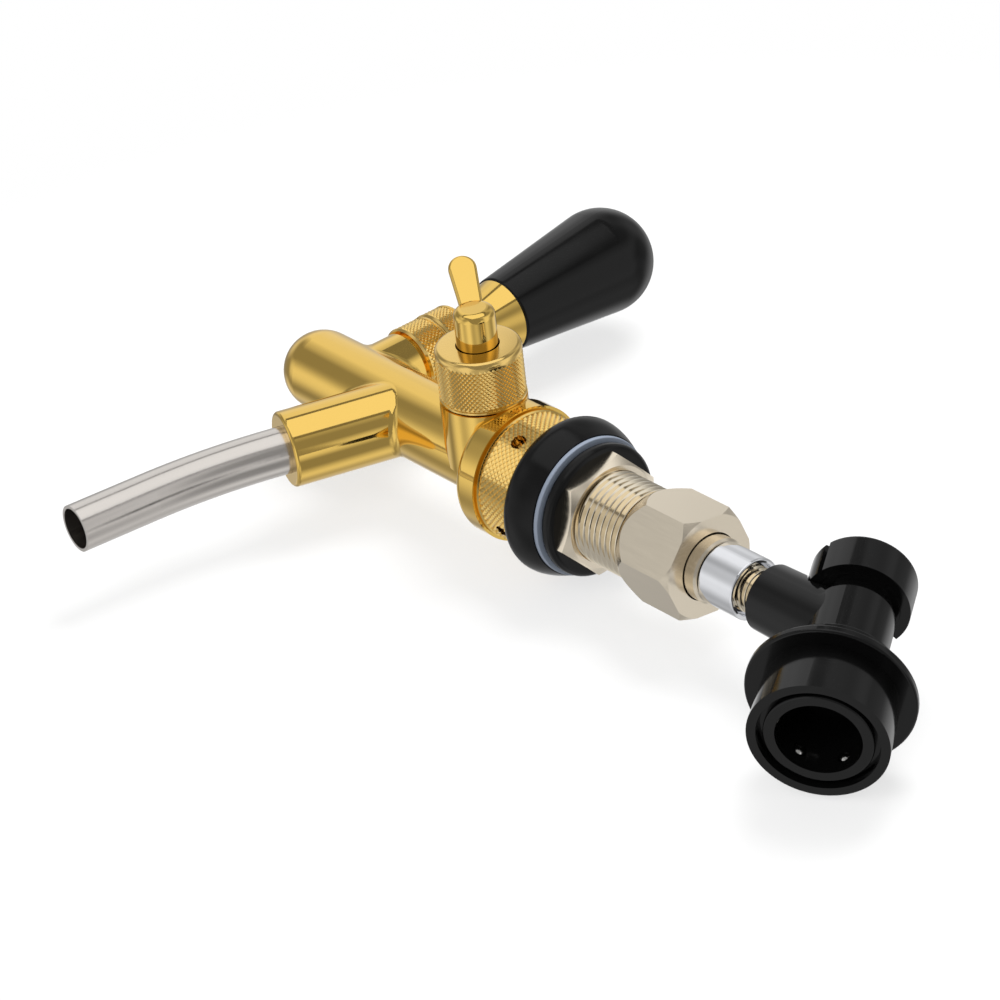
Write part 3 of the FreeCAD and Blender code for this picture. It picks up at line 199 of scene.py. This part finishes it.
class Finishes:
    """Every finish of the tap, each made once."""

    def __init__(self) -> None:
        """Make the materials."""
        metal, plain = Shell.METAL, Shell.PLAIN
        self.gold = Finish("polished_gold", (0.90, 0.60, 0.15), metal, roughness=0.07,
                           roughness_spread=0.01, mottle=0.01).make()
        self.gold_knurl = Finish("knurled_gold", (0.90, 0.62, 0.20), metal, roughness=0.14,
                                 roughness_spread=0.02, mottle=0.02).make()
        self.tube_steel = Finish("drawn_tube", (0.71, 0.67, 0.63), metal, roughness=0.20,
                                 grain=(1.0, 1.0, 24.0), grain_lean=-12.4, grain_scale=1400.0,
                                 relief=0.05).make()
        self.bright_steel = Finish("bright_steel", (0.70, 0.69, 0.67), metal,
                                   roughness=0.16).make()
        self.nickel = Finish("satin_nickel", (0.92, 0.82, 0.66), metal, roughness=0.20,
                             roughness_spread=0.04, grain=(1.0, 14.0, 14.0), grain_scale=1800.0,
                             relief=0.08).make()
        self.cut_nickel = Finish("cut_nickel", (0.86, 0.77, 0.61), metal, roughness=0.11,
                                 roughness_spread=0.02, mottle=0.02).make()
        self.chrome = Finish("bright_chrome", (0.88, 0.89, 0.92), metal, roughness=0.06).make()
        self.handle_black = Finish("handle_black", (0.003, 0.003, 0.003), plain, roughness=0.14,
                                   specular=0.22).make()
        self.fitting_black = Finish("fitting_black", (0.003, 0.003, 0.003), plain,
                                    roughness=0.13, roughness_spread=0.02, mottle=0.1,
                                    specular=0.30).make()
        self.rubber = Finish("black_rubber", (0.004, 0.004, 0.004), plain, roughness=0.20,
                             roughness_spread=0.04, mottle=0.1, specular=0.20).make()
        self.grey_plastic = Finish("grey_washer", (0.24, 0.28, 0.35), plain,
                                   roughness=0.35).make()
        self.white_plastic = Finish("white_plastic", (0.80, 0.80, 0.77), plain,
                                    roughness=0.35).make()

    def by_node(self) -> dict[str, bpy.types.Material]:
        """Which finish each piece from the frame wears."""
        groups = (
            (self.gold, ("faucet_body", "handle_ferrule", "flow_lever")),
            (self.gold_knurl, ("shank_collar", "lever_collar", "lever_lock_ring", "flow_cap")),
            (self.tube_steel, ("spout_tube",)),
            (self.bright_steel, ("lever_shaft", "flow_spindle", "valve_plunger", "locking_balls",
                                 "release_spring", "poppet_spring", "poppet")),
            (self.nickel, ("shank", "lock_nut", "coupling_nut", "tailpiece", "thread_stub",
                           "handle_insert", "valve_nut")),
            (self.chrome, ("swivel_sleeve",)),
            (self.handle_black, ("handle_grip",)),
            (self.fitting_black, ("disconnect_body", "disconnect_cap", "release_sleeve",
                                  "retaining_ring")),
            (self.rubber, ("spout_o_ring", "valve_seal", "flow_spindle_o_ring", "cap_o_ring",
                           "wall_washer_front", "wall_washer_rear", "poppet_seal")),
            (self.grey_plastic, ("wall_washer_middle", "shank_gasket", "tailpiece_gasket")),
            (self.white_plastic, ("ball_seat", "friction_washer", "compensator_cone")),
        )
        return {node: material for material, nodes in groups for node in nodes}


def dress(piece: bpy.types.Object, material: bpy.types.Material) -> None:
    """Put one material on every slot of a piece.

    Args:
        piece: The piece to dress.
        material: What it wears.
    """
    if not piece.data.materials:
        piece.data.materials.append(material)
    for slot in piece.material_slots:
        slot.material = material


def add_mesh(name: str, mesh: bmesh.types.BMesh) -> bpy.types.Object:
    """Put a finished mesh in the scene.

    Args:
        name: The piece's name.
        mesh: The mesh; it is freed.

    Returns:
        The new piece.
    """
    data = bpy.data.meshes.new(name)
    mesh.to_mesh(data)
    mesh.free()
    piece = bpy.data.objects.new(name, data)
    bpy.context.scene.collection.objects.link(piece)
    return piece


def into_scene(name: str, mesh: bmesh.types.BMesh, lay: Lay, corner: Vector) -> bpy.types.Object:
    """Lay a turned mesh on its axis and put it in the scene.

    Args:
        name: The piece's name.
        mesh: The mesh about its own upright axis; it is freed.
        lay: The way that axis lies.
        corner: Where the axis's zero stands, in metres.

    Returns:
        The new piece.
    """
    bmesh.ops.transform(mesh, matrix=Matrix.Translation(corner) @ lay.value, verts=mesh.verts)
    bmesh.ops.recalc_face_normals(mesh, faces=mesh.faces)
    return add_mesh(name, mesh)


def shade(piece: bpy.types.Object, angle: float) -> None:
    """Shade a piece smooth, but keep edges sharper than an angle.

    Args:
        piece: The piece.
        angle: The sharpest smooth edge, in degrees.
    """
    mesh = bmesh.new()
    mesh.from_mesh(piece.data)
    limit = math.radians(angle)
    for edge in mesh.edges:
        edge.smooth = edge.is_manifold and edge.calc_face_angle(0.0) < limit
    for face in mesh.faces:
        face.smooth = True
    mesh.to_mesh(piece.data)
    mesh.free()


def spin_profile(profile: Sequence[tuple[float, float]], steps: int) -> bmesh.types.BMesh:
    """Spin a closed profile round the upright axis.

    Args:
        profile: Its (radius, station) corners in metres, in order.
        steps: Faces round the turn.

    Returns:
        The turned ring.
    """
    mesh = bmesh.new()
    corners = [mesh.verts.new((radius, 0.0, station)) for radius, station in profile]
    edges = [mesh.edges.new((a, b)) for a, b in zip(corners, corners[1:] + corners[:1])]
    bmesh.ops.spin(mesh, geom=corners + edges, cent=CENTRE, axis=UPRIGHT, dvec=CENTRE,
                   angle=FULL_TURN, steps=steps, use_merge=True)
    bmesh.ops.recalc_face_normals(mesh, faces=mesh.faces)
    return mesh


@dataclass
class KnurledRing:
    """A ring whose outer band is cut with crossed knurling, so it stands in small pyramids."""

    name: str
    node: str
    body: str
    lay: Lay
    corner: Vector
    radius: float
    bore: float
    low: float
    high: float
    rim: float
    land: float
    depth: float = 0.34 * MM
    pitch: float = 1.15 * MM
    roof_low: float | None = None
    roof_bore: float | None = None
    top_round: tuple[float, float] | None = None
    round_steps: int = 5
    band_slack: float = 0.05 * MM

    def profile(self) -> tuple[list[tuple[float, float]], float, float]:
        """Work out the ring's corners.

        Returns:
            The corners, and the lowest and highest station of the knurled band.
        """
        base = self.radius - self.depth
        lead = self.depth / 2.0
        start = self.low + self.rim + self.land
        along, inward = self.top_round or (self.rim, self.rim)
        end = self.high - along - self.land
        rows = max(round((end - start) / self.pitch), 1)
        band = [(base, start + (end - start) * row / rows) for row in range(rows + 1)]
        corners = [(self.bore, self.low), (self.radius - self.rim, self.low),
                   (self.radius, self.low + self.rim), (self.radius, start - lead), *band,
                   (self.radius, end + lead), (self.radius, self.high - along)]
        for step in range(1, self.round_steps + 1):
            turn = QUARTER_TURN * step / self.round_steps
            corners.append((self.radius - inward * (1.0 - math.cos(turn)),
                            self.high - along * (1.0 - math.sin(turn))))
        if self.roof_low is None:
            corners += [(self.bore, self.high)]
        else:
            corners += [(self.roof_bore, self.high), (self.roof_bore, self.roof_low),
                        (self.bore, self.roof_low)]
        return corners, start, end

    def build(self, finish: bpy.types.Material) -> bpy.types.Object:
        """Turn the ring, raise its knurling and set it in place.

        Args:
            finish: What it wears.

        Returns:
            The piece.
        """
        corners, start, end = self.profile()
        steps = round(FULL_TURN * self.radius / self.pitch)
        mesh = spin_profile(corners, steps)
        base = self.radius - self.depth
        slack = self.band_slack

        def on_band(vert: bmesh.types.BMVert) -> bool:
            """Whether a vertex lies on the knurled band."""
            across = math.hypot(vert.co.x, vert.co.y)
            return abs(across - base) < slack and start - slack < vert.co.z < end + slack

        band = [face for face in mesh.faces if all(on_band(vert) for vert in face.verts)]
        shared = set(band)
        inner = [edge for edge in mesh.edges
                 if len(edge.link_faces) == 2 and all(face in shared for face in edge.link_faces)]
        bmesh.ops.poke(mesh, faces=band, offset=0.0)
        bmesh.ops.dissolve_edges(mesh, edges=inner, use_verts=False)
        bmesh.ops.recalc_face_normals(mesh, faces=mesh.faces)
        diamonds = [face for face in mesh.faces
                    if len(face.verts) == 4 and all(on_band(vert) for vert in face.verts)]
        raised = set(bmesh.ops.poke(mesh, faces=diamonds, offset=self.depth)["faces"])
        sharp = math.radians(SMOOTH_ANGLE)
        for face in mesh.faces:
            face.smooth = face not in raised
        for edge in mesh.edges:
            edge.smooth = edge.calc_face_angle(0.0) < sharp
        piece = into_scene(self.name, mesh, self.lay, self.corner)
        dress(piece, finish)
        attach(piece, self.body)
        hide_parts(self.node)
        LOG.info("%s: %d faces", self.name, len(piece.data.polygons))
        return piece


@dataclass
class Thread:
    """A threaded rod with a bore, wound from one turn of its profile."""

    name: str
    node: str
    body: str
    major: float
    minor: float
    pitch: float
    bore: float
    low: float
    high: float
    lead: float
    steps: int = 48
    lead_in: float = 1.5
    spare_turns: int = 3
    smooth_angle: float = 25.0
    root_end: float = 0.12
    crest_start: float = 0.46
    crest_end: float = 0.60
    root_start: float = 0.94

    def wind(self) -> bmesh.types.BMesh:
        """Wind the thread's turns, with some to spare at both ends.

        Returns:
            The wound skin, open at both ends.
        """
        mesh = bmesh.new()
        shares = ((self.minor, 0.0), (self.minor, self.root_end), (self.major, self.crest_start),
                  (self.major, self.crest_end), (self.minor, self.root_start), (self.minor, 1.0))
        start = self.low - self.lead_in * self.pitch
        corners = [mesh.verts.new((radius, 0.0, start + share * self.pitch))
                   for radius, share in shares]
        edges = [mesh.edges.new(pair) for pair in zip(corners, corners[1:])]
        turns = math.ceil((self.high - self.low) / self.pitch) + self.spare_turns
        bmesh.ops.spin(mesh, geom=corners + edges, cent=CENTRE, axis=UPRIGHT,
                       dvec=(0.0, 0.0, self.pitch / self.steps), angle=FULL_TURN * turns,
                       steps=self.steps * turns, use_merge=False)
        bmesh.ops.remove_doubles(mesh, verts=mesh.verts, dist=WELD)
        return mesh

    def trim(self, mesh: bmesh.types.BMesh) -> None:
        """Cut both ends square and taper the turns near them.

        Args:
            mesh: The wound skin.
        """
        for height, way in ((self.low, -1.0), (self.high, 1.0)):
            bmesh.ops.bisect_plane(mesh, geom=mesh.verts[:] + mesh.edges[:] + mesh.faces[:],
                                   plane_co=(0.0, 0.0, height), plane_no=(0.0, 0.0, way),
                                   clear_outer=True)
        for vert in mesh.verts:
            inset = min(vert.co.z - self.low, self.high - vert.co.z)
            limit = self.major - max(self.lead - inset, 0.0)
            across = math.hypot(vert.co.x, vert.co.y)
            if across > limit:
                vert.co.x *= limit / across
                vert.co.y *= limit / across

    def close(self, mesh: bmesh.types.BMesh) -> None:
        """Close the ends with ring faces and line the bore.

        Args:
            mesh: The trimmed skin.
        """
        loops = []
        for height in (self.low, self.high):
            rim = [edge for edge in mesh.edges if edge.is_boundary
                   and all(abs(vert.co.z - height) < WELD for vert in edge.verts)]
            circle = bmesh.ops.create_circle(mesh, radius=self.bore, segments=self.steps,
                                             matrix=Matrix.Translation((0.0, 0.0, height)))
            ring = list({edge for vert in circle["verts"] for edge in vert.link_edges})
            bmesh.ops.bridge_loops(mesh, edges=rim + ring)
            loops += ring
        bmesh.ops.bridge_loops(mesh, edges=loops)

    def build(self, finish: bpy.types.Material) -> bpy.types.Object:
        """Make the threaded rod and set it in place.

        Args:
            finish: What it wears.

        Returns:
            The piece.
        """
        mesh = self.wind()
        self.trim(mesh)
        self.close(mesh)
        piece = into_scene(self.name, mesh, Lay.REAR, Vector())
        shade(piece, self.smooth_angle)
        dress(piece, finish)
        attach(piece, self.body)
        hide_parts(self.node)
        LOG.info("%s: %d faces", self.name, len(piece.data.polygons))
        return piece


@dataclass
class SpannerHoles:
    """Round holes for a pin spanner, drilled through the side of a collar."""

    radius: float = 1.9 * MM
    depth: float = 5.0 * MM
    collar_radius: float = 16.2 * MM
    station: float = -15.3 * MM
    first: float = 25.0
    count: int = 4
    overshoot: float = 1.0 * MM
    drill_steps: int = 32

    def drill(self, collar: bpy.types.Object) -> None:
        """Cut the holes out of a collar.

        Args:
            collar: The collar, about the Y axis.
        """
        drill = bmesh.new()
        for number in range(self.count):
            bearing = math.radians(self.first) + FULL_TURN * number / self.count
            middle = self.collar_radius - self.depth / 2.0 + self.overshoot
            place = (Matrix.Rotation(bearing, 4, "Y")
                     @ Matrix.Translation((middle, self.station, 0.0)) @ Lay.SIDE.value)
            bmesh.ops.create_cone(drill, cap_ends=True, segments=self.drill_steps,
                                  radius1=self.radius, radius2=self.radius,
                                  depth=self.depth + 2.0 * self.overshoot, matrix=place)
        cutter = into_scene("spanner_drill", drill, Lay.UP, Vector())
        cut = collar.modifiers.new("spanner_holes", "BOOLEAN")
        cut.operation = "DIFFERENCE"
        cut.solver = "EXACT"
        cut.object = cutter
        ready = collar.evaluated_get(bpy.context.evaluated_depsgraph_get())
        drilled = bpy.data.meshes.new_from_object(ready)
        collar.modifiers.clear()
        collar.data = drilled
        bpy.data.objects.remove(cutter)
        LOG.info("drilled %s: %d faces", collar.name, len(collar.data.polygons))


@dataclass
class ShankGroup:
    """The threaded shank and stub, and the knurled collar in front of the wall."""

    thread_pitch: float = 1.814 * MM
    stub_pitch: float = 1.27 * MM

    def build(self, finishes: Finishes) -> None:
        """Make the group's pieces.

        Args:
            finishes: The tap's finishes.
        """
        Thread("shank_thread", "shank", "tap", major=11.45 * MM, minor=10.30 * MM,
               pitch=self.thread_pitch, bore=5.0 * MM, low=-25.9 * MM, high=29.0 * MM,
               lead=1.0 * MM).build(finishes.cut_nickel)
        Thread("stub_thread", "thread_stub", "disconnect", major=5.55 * MM, minor=4.80 * MM,
               pitch=self.stub_pitch, bore=2.4 * MM, low=48.9 * MM, high=61.05 * MM,
               lead=0.5 * MM).build(finishes.cut_nickel)
        collar = KnurledRing("collar_knurl", "shank_collar", "tap", Lay.REAR, Vector(),
                             radius=16.2 * MM, bore=11.5 * MM, low=-22.0 * MM, high=-9.5 * MM,
                             rim=0.5 * MM, land=0.5 * MM, depth=0.45 * MM, pitch=1.6 * MM)
        piece = collar.build(finishes.gold_knurl)
        SpannerHoles().drill(piece)
        dress(piece, finishes.gold_knurl)


@dataclass
class FrontWasher:
    """The big rubber washer, its rim round in front and sloping away to the rear."""

    bore: float = 11.5 * MM
    front: float = -9.5 * MM
    face: float = 16.9 * MM
    rim: float = 19.5 * MM
    crown: float = -6.7 * MM
    rear_edge: float = 17.5 * MM
    fall_power: float = 1.7
    steps: int = 96
    arc_steps: int = 8

    def build(self, finish: bpy.types.Material) -> None:
        """Make the washer.

        Args:
            finish: What it wears.
        """
        corners = [(self.bore, self.front)]
        depth = self.crown - self.front
        for step in range(self.arc_steps + 1):
            angle = QUARTER_TURN * step / self.arc_steps
            corners.append((self.face + (self.rim - self.face) * math.sin(angle),
                            self.crown - depth * math.cos(angle)))
        fall = self.rim - self.rear_edge
        for step in range(1, self.arc_steps + 1):
            share = step / self.arc_steps
            corners.append((self.rim - fall * share ** self.fall_power,
                            self.crown * (1.0 - share)))
        corners.append((self.bore, 0.0))
        piece = into_scene("front_washer", spin_profile(corners, self.steps), Lay.REAR, Vector())
        shade(piece, SMOOTH_ANGLE)
        dress(piece, finish)
        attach(piece, "tap")
        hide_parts("wall_washer_front")
        LOG.info("%s: %d faces", piece.name, len(piece.data.polygons))


@dataclass
class LeverRings:
    """The two knurled rings round the lever's neck."""

    neck_bore: float = 7.65 * MM
    stand: Vector = Vector((0.0, -85.0 * MM, 0.0))

    def build(self, finishes: Finishes) -> None:
        """Make both rings.

        Args:
            finishes: The tap's finishes.
        """
        KnurledRing("lower_ring_knurl", "lever_collar", "tap", Lay.UP, self.stand,
                    radius=9.4 * MM, bore=self.neck_bore, low=15.6 * MM, high=24.2 * MM,
                    rim=0.5 * MM, land=0.3 * MM).build(finishes.gold_knurl)
        KnurledRing("upper_ring_knurl", "lever_lock_ring", "tap", Lay.UP, self.stand,
                    radius=9.6 * MM, bore=self.neck_bore, low=24.3 * MM, high=31.4 * MM,
                    rim=0.5 * MM, land=0.3 * MM, roof_low=27.2 * MM,
                    roof_bore=7.2 * MM).build(finishes.gold_knurl)


@dataclass
class FlowCap:
    """The knurled cap that holds the flow spindle down, and the foot of the spindle's knob."""

    stand: Vector = Vector((0.0, -35.3 * MM, 0.0))
    foot_radius: float = 5.0 * MM
    foot_bore: float = 4.3 * MM
    foot_low: float = 29.8 * MM
    foot_high: float = 32.5 * MM
    foot_steps: int = 64

    def build(self, finishes: Finishes) -> None:
        """Make the cap and the foot.

        Args:
            finishes: The tap's finishes.
        """
        KnurledRing("flow_cap_knurl", "flow_cap", "tap", Lay.SIDE, self.stand,
                    radius=10.5 * MM, bore=8.35 * MM, low=16.6 * MM, high=30.6 * MM,
                    rim=0.5 * MM, land=0.6 * MM, roof_low=27.7 * MM, roof_bore=5.3 * MM,
                    top_round=(1.4 * MM, 1.2 * MM)).build(finishes.gold_knurl)
        corners = [(self.foot_bore, self.foot_low), (self.foot_radius, self.foot_low),
                   (self.foot_radius, self.foot_high), (self.foot_bore, self.foot_high)]
        foot = into_scene("flow_knob_foot", spin_profile(corners, self.foot_steps), Lay.SIDE,
                          self.stand)
        shade(foot, SMOOTH_ANGLE)
        dress(foot, finishes.gold)
        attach(foot, "flow_spindle")


@dataclass
class CoilSpring:
    """A coil spring in the keg disconnect, copied whole from the frame's coil."""

    name: str
    node: str
    joint: str
    low: float
    high: float
    stand: Vector = Vector((0.0, 85.15 * MM, 0.0))

    def build(self, finish: bpy.types.Material) -> None:
        """Copy the frame's coil and carry it with the disconnect.

        Args:
            finish: What it wears.
        """
        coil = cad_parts[self.node]
        data = coil.data.copy()
        data.transform(coil.matrix_world)
        piece = bpy.data.objects.new(self.name, data)
        bpy.context.scene.collection.objects.link(piece)
        dress(piece, finish)
        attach(piece, "disconnect")
        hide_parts(self.node)
        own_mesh(piece)


@dataclass(frozen=True)
class Lamp:
    """One soft lamp, placed from the middle of the tap: metres and watts."""

    name: str
    offset: tuple[float, float, float]
    size: float
    power: float

    def hang(self, middle: Vector) -> None:
        """Hang the lamp so that it points at the tap.

        Args:
            middle: The middle of the tap.
        """
        at = middle + Vector(self.offset)
        data = bpy.data.lights.new(self.name, "AREA")
        data.shape = "SQUARE"
        data.size = self.size
        data.energy = self.power
        lamp = bpy.data.objects.new(self.name, data)
        lamp.visible_glossy = False
        lamp.location = at
        lamp.rotation_euler = (middle - at).to_track_quat("-Z", "Y").to_euler()
        bpy.context.scene.collection.objects.link(lamp)


@dataclass(frozen=True)
class Glow:
    """A glowing surface that shows only in reflections.

    The tone is how bright it looks in a reflection, and it drifts over the surface by the spread.
    """

    name: str
    tone: float
    spread: float = 0.0
    cloud_scale: float = 1.1

    def add(self, mesh: bmesh.types.BMesh) -> None:
        """Put the surface in the scene.

        Args:
            mesh: Its mesh; it is freed.
        """
        piece = add_mesh(self.name, mesh)
        material, tree = new_material(self.name)
        tree.nodes.remove(tree.nodes["Principled BSDF"])
        glow = tree.nodes.new("ShaderNodeEmission")
        set_inputs(glow, {"Color": WHITE, "Strength": self.tone})
        if self.spread > 0.0:
            place = tree.nodes.new("ShaderNodeTexCoord")
            cloud = tree.nodes.new("ShaderNodeTexNoise")
            set_inputs(cloud, {"Scale": self.cloud_scale, "Detail": 0.0})
            tree.links.new(place.outputs["Object"], cloud.inputs["Vector"])
            drift = spread_noise(tree, cloud, self.tone - self.spread, self.tone + self.spread)
            tree.links.new(drift, glow.inputs["Strength"])
        tree.links.new(glow.outputs["Emission"], tree.nodes["Material Output"].inputs["Surface"])
        piece.data.materials.append(material)
        piece.visible_camera = False
        piece.visible_diffuse = False
        piece.visible_shadow = False
        piece.visible_transmission = False
        piece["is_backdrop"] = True


@dataclass(frozen=True)
class Card:
    """One glowing card that faces the tap, in metres."""

    name: str
    far: float
    width: float
    height: float
    tone: float

    def stand(self, middle: Vector, way: Vector) -> None:
        """Stand the card beside the tap.

        Args:
            middle: The middle of the tap.
            way: The direction it stands in.
        """
        sheet = bmesh.new()
        bmesh.ops.create_grid(sheet, x_segments=1, y_segments=1, size=0.5)
        at = middle + way.normalized() * self.far
        turn = (middle - at).to_track_quat("Z", "Y").to_matrix().to_4x4()
        scale = Matrix.Diagonal((self.width, self.height, 1.0, 1.0))
        bmesh.ops.transform(sheet, matrix=Matrix.Translation(at) @ turn @ scale, verts=sheet.verts)
        Glow(self.name, self.tone).add(sheet)


@dataclass
class Floor:
    """The white floor that the tap lies on, fading out to the white world."""

    gap: float = 0.3 * MM
    radius: float = 0.30
    reach: float = 1.5
    fade_start: float = 0.45
    fade_end: float = 0.95
    clearness: float = 0.70
    color: tuple[float, float, float, float] = (0.97, 0.97, 0.97, 1.0)

    def material(self, spot: Vector) -> bpy.types.Material:
        """Make the floor's finish: dull white, clear far out and clear from below.

        Args:
            spot: The floor's middle.

        Returns:
            The material.
        """
        material, tree = new_material("white_floor")
        surface = tree.nodes["Principled BSDF"]
        set_inputs(surface, {"Base Color": self.color, "Roughness": 1.0,
                             "Specular IOR Level": 0.0})
        clear = tree.nodes.new("ShaderNodeBsdfTransparent")
        mix = tree.nodes.new("ShaderNodeMixShader")
        coordinate = tree.nodes.new("ShaderNodeTexCoord")
        out = tree.nodes.new("ShaderNodeVectorMath")
        out.operation = "DISTANCE"
        out.inputs[1].default_value = spot
        fade = tree.nodes.new("ShaderNodeMapRange")
        set_inputs(fade, {"From Min": self.radius * self.fade_start,
                          "From Max": self.radius * self.fade_end, "To Min": self.clearness})
        side = tree.nodes.new("ShaderNodeNewGeometry")
        hidden = tree.nodes.new("ShaderNodeMath")
        hidden.operation = "MAXIMUM"
        tree.links.new(coordinate.outputs["Object"], out.inputs[0])
        tree.links.new(out.outputs["Value"], fade.inputs["Value"])
        tree.links.new(fade.outputs["Result"], hidden.inputs[0])
        tree.links.new(side.outputs["Backfacing"], hidden.inputs[1])
        tree.links.new(hidden.outputs["Value"], mix.inputs["Fac"])
        tree.links.new(surface.outputs["BSDF"], mix.inputs[1])
        tree.links.new(clear.outputs["BSDF"], mix.inputs[2])
        tree.links.new(mix.outputs["Shader"], tree.nodes["Material Output"].inputs["Surface"])
        return material

    def lay(self, lowest: float, middle: Vector) -> None:
        """Lay the floor under the tap.

        Args:
            lowest: The tap's lowest station along X.
            middle: The middle of the tap.
        """
        spot = Vector((lowest - self.gap, middle.y, middle.z))
        sheet = bmesh.new()
        bmesh.ops.create_grid(sheet, x_segments=1, y_segments=1, size=self.radius * self.reach)
        bmesh.ops.transform(sheet, matrix=Matrix.Translation(spot) @ Lay.SIDE.value,
                            verts=sheet.verts)
        piece = add_mesh("floor", sheet)
        piece.data.materials.append(self.material(spot))
        piece.visible_glossy = False
        piece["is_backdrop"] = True


@dataclass
class Studio:
    """Camera, lamps, cards, tent and world of the picture."""

    camera_at: Vector = Vector((485.61, 620.58, -498.69)) * MM
    camera_right: Vector = Vector((-0.0995, 0.64996, 0.75343))
    camera_down: Vector = Vector((-0.84982, 0.33834, -0.40414))
    lens: float = 144.0
    sensor: float = 36.0
    nearest: float = 0.01
    farthest: float = 20.0
    overhead: Vector = Vector((1.0, 0.0, 0.0))
    room_light: float = 0.55
    tent_radius: float = 1.6
    tent_tone: float = 0.60
    tent_spread: float = 0.30
    dark_end_drop: float = 0.09

    def camera(self) -> None:
        """Stand the camera where the photograph was taken."""
        data = bpy.data.cameras.new("camera")
        data.lens = self.lens
        data.sensor_width = self.sensor
        data.clip_start = self.nearest
        data.clip_end = self.farthest
        eye = bpy.data.objects.new("camera", data)
        right = self.camera_right.normalized()
        up = -self.camera_down.normalized()
        back = right.cross(up)
        turn = Matrix((right, up, back)).transposed().to_4x4()
        eye.matrix_world = Matrix.Translation(self.camera_at) @ turn
        bpy.context.scene.collection.objects.link(eye)
        bpy.context.scene.camera = eye

    def world(self) -> None:
        """Make the world white to the camera and in reflections, and plain as a light."""
        world = bpy.data.worlds.new("room")
        world.use_nodes = True
        bpy.context.scene.world = world
        tree = world.node_tree
        light = tree.nodes["Background"]
        light.inputs["Color"].default_value = WHITE
        path = tree.nodes.new("ShaderNodeLightPath")
        seen = path.outputs["Is Camera Ray"]
        for ray in ("Is Glossy Ray", "Is Transmission Ray"):
            either = tree.nodes.new("ShaderNodeMath")
            either.operation = "MAXIMUM"
            tree.links.new(seen, either.inputs[0])
            tree.links.new(path.outputs[ray], either.inputs[1])
            seen = either.outputs["Value"]
        strength = tree.nodes.new("ShaderNodeMapRange")
        set_inputs(strength, {"To Min": self.room_light, "To Max": 1.0})
        tree.links.new(seen, strength.inputs["Value"])
        tree.links.new(strength.outputs["Result"], light.inputs["Strength"])

    def tent(self, middle: Vector) -> None:
        """Put a pale grey tent round the tap, which only reflections show.

        Args:
            middle: The middle of the tap.
        """
        dome = bmesh.new()
        bmesh.ops.create_icosphere(dome, subdivisions=3, radius=self.tent_radius,
                                   matrix=Matrix.Translation(middle))
        bmesh.ops.reverse_faces(dome, faces=dome.faces)
        Glow("grey_tent", self.tent_tone, self.tent_spread).add(dome)

    def build(self, lowest: Vector, highest: Vector) -> None:
        """Set up the whole studio.

        Args:
            lowest: The tap's lowest corner.
            highest: The tap's highest corner.
        """
        bpy.context.scene.view_settings.view_transform = "Standard"
        middle = (lowest + highest) / 2.0
        self.camera()
        self.world()
        Floor().lay(lowest.x, middle)
        Lamp("key_lamp", (0.7, -0.1, 0.35), size=0.45, power=6.0).hang(middle)
        Lamp("fill_lamp", (0.5, 0.2, -0.6), size=0.5, power=2.5).hang(middle)
        self.tent(middle)
        to_camera = (self.camera_at - middle).normalized()
        below = self.camera_down.normalized() * self.dark_end_drop
        Card("ceiling", far=0.80, width=0.90, height=0.90, tone=1.05).stand(middle, self.overhead)
        Card("ceiling_frame", far=0.83, width=1.25, height=1.25,
             tone=0.22).stand(middle, self.overhead)
        Card("dark_end", far=0.70, width=0.95, height=0.72,
             tone=0.30).stand(middle, to_camera + below)


def main() -> None:
    """Dress the frame's pieces, make the new ones and light them."""
    logging.basicConfig(level=logging.INFO)
    lowest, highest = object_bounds()
    finishes = Finishes()
    wears = finishes.by_node()
    for name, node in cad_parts.items():
        dress(node, wears[name])
        LOG.info("dressed %s", name)
    ShankGroup().build(finishes)
    FrontWasher().build(finishes.rubber)
    LeverRings().build(finishes)
    FlowCap().build(finishes)
    CoilSpring("release_coil", "release_spring", "release_slide", low=-19.0 * MM,
               high=-13.0 * MM).build(finishes.bright_steel)
    CoilSpring("poppet_coil", "poppet_spring", "poppet_slide", low=-10.6 * MM,
               high=7.5 * MM).build(finishes.bright_steel)
    Studio().build(Vector(lowest), Vector(highest))


if __name__ == "__main__":
    main()
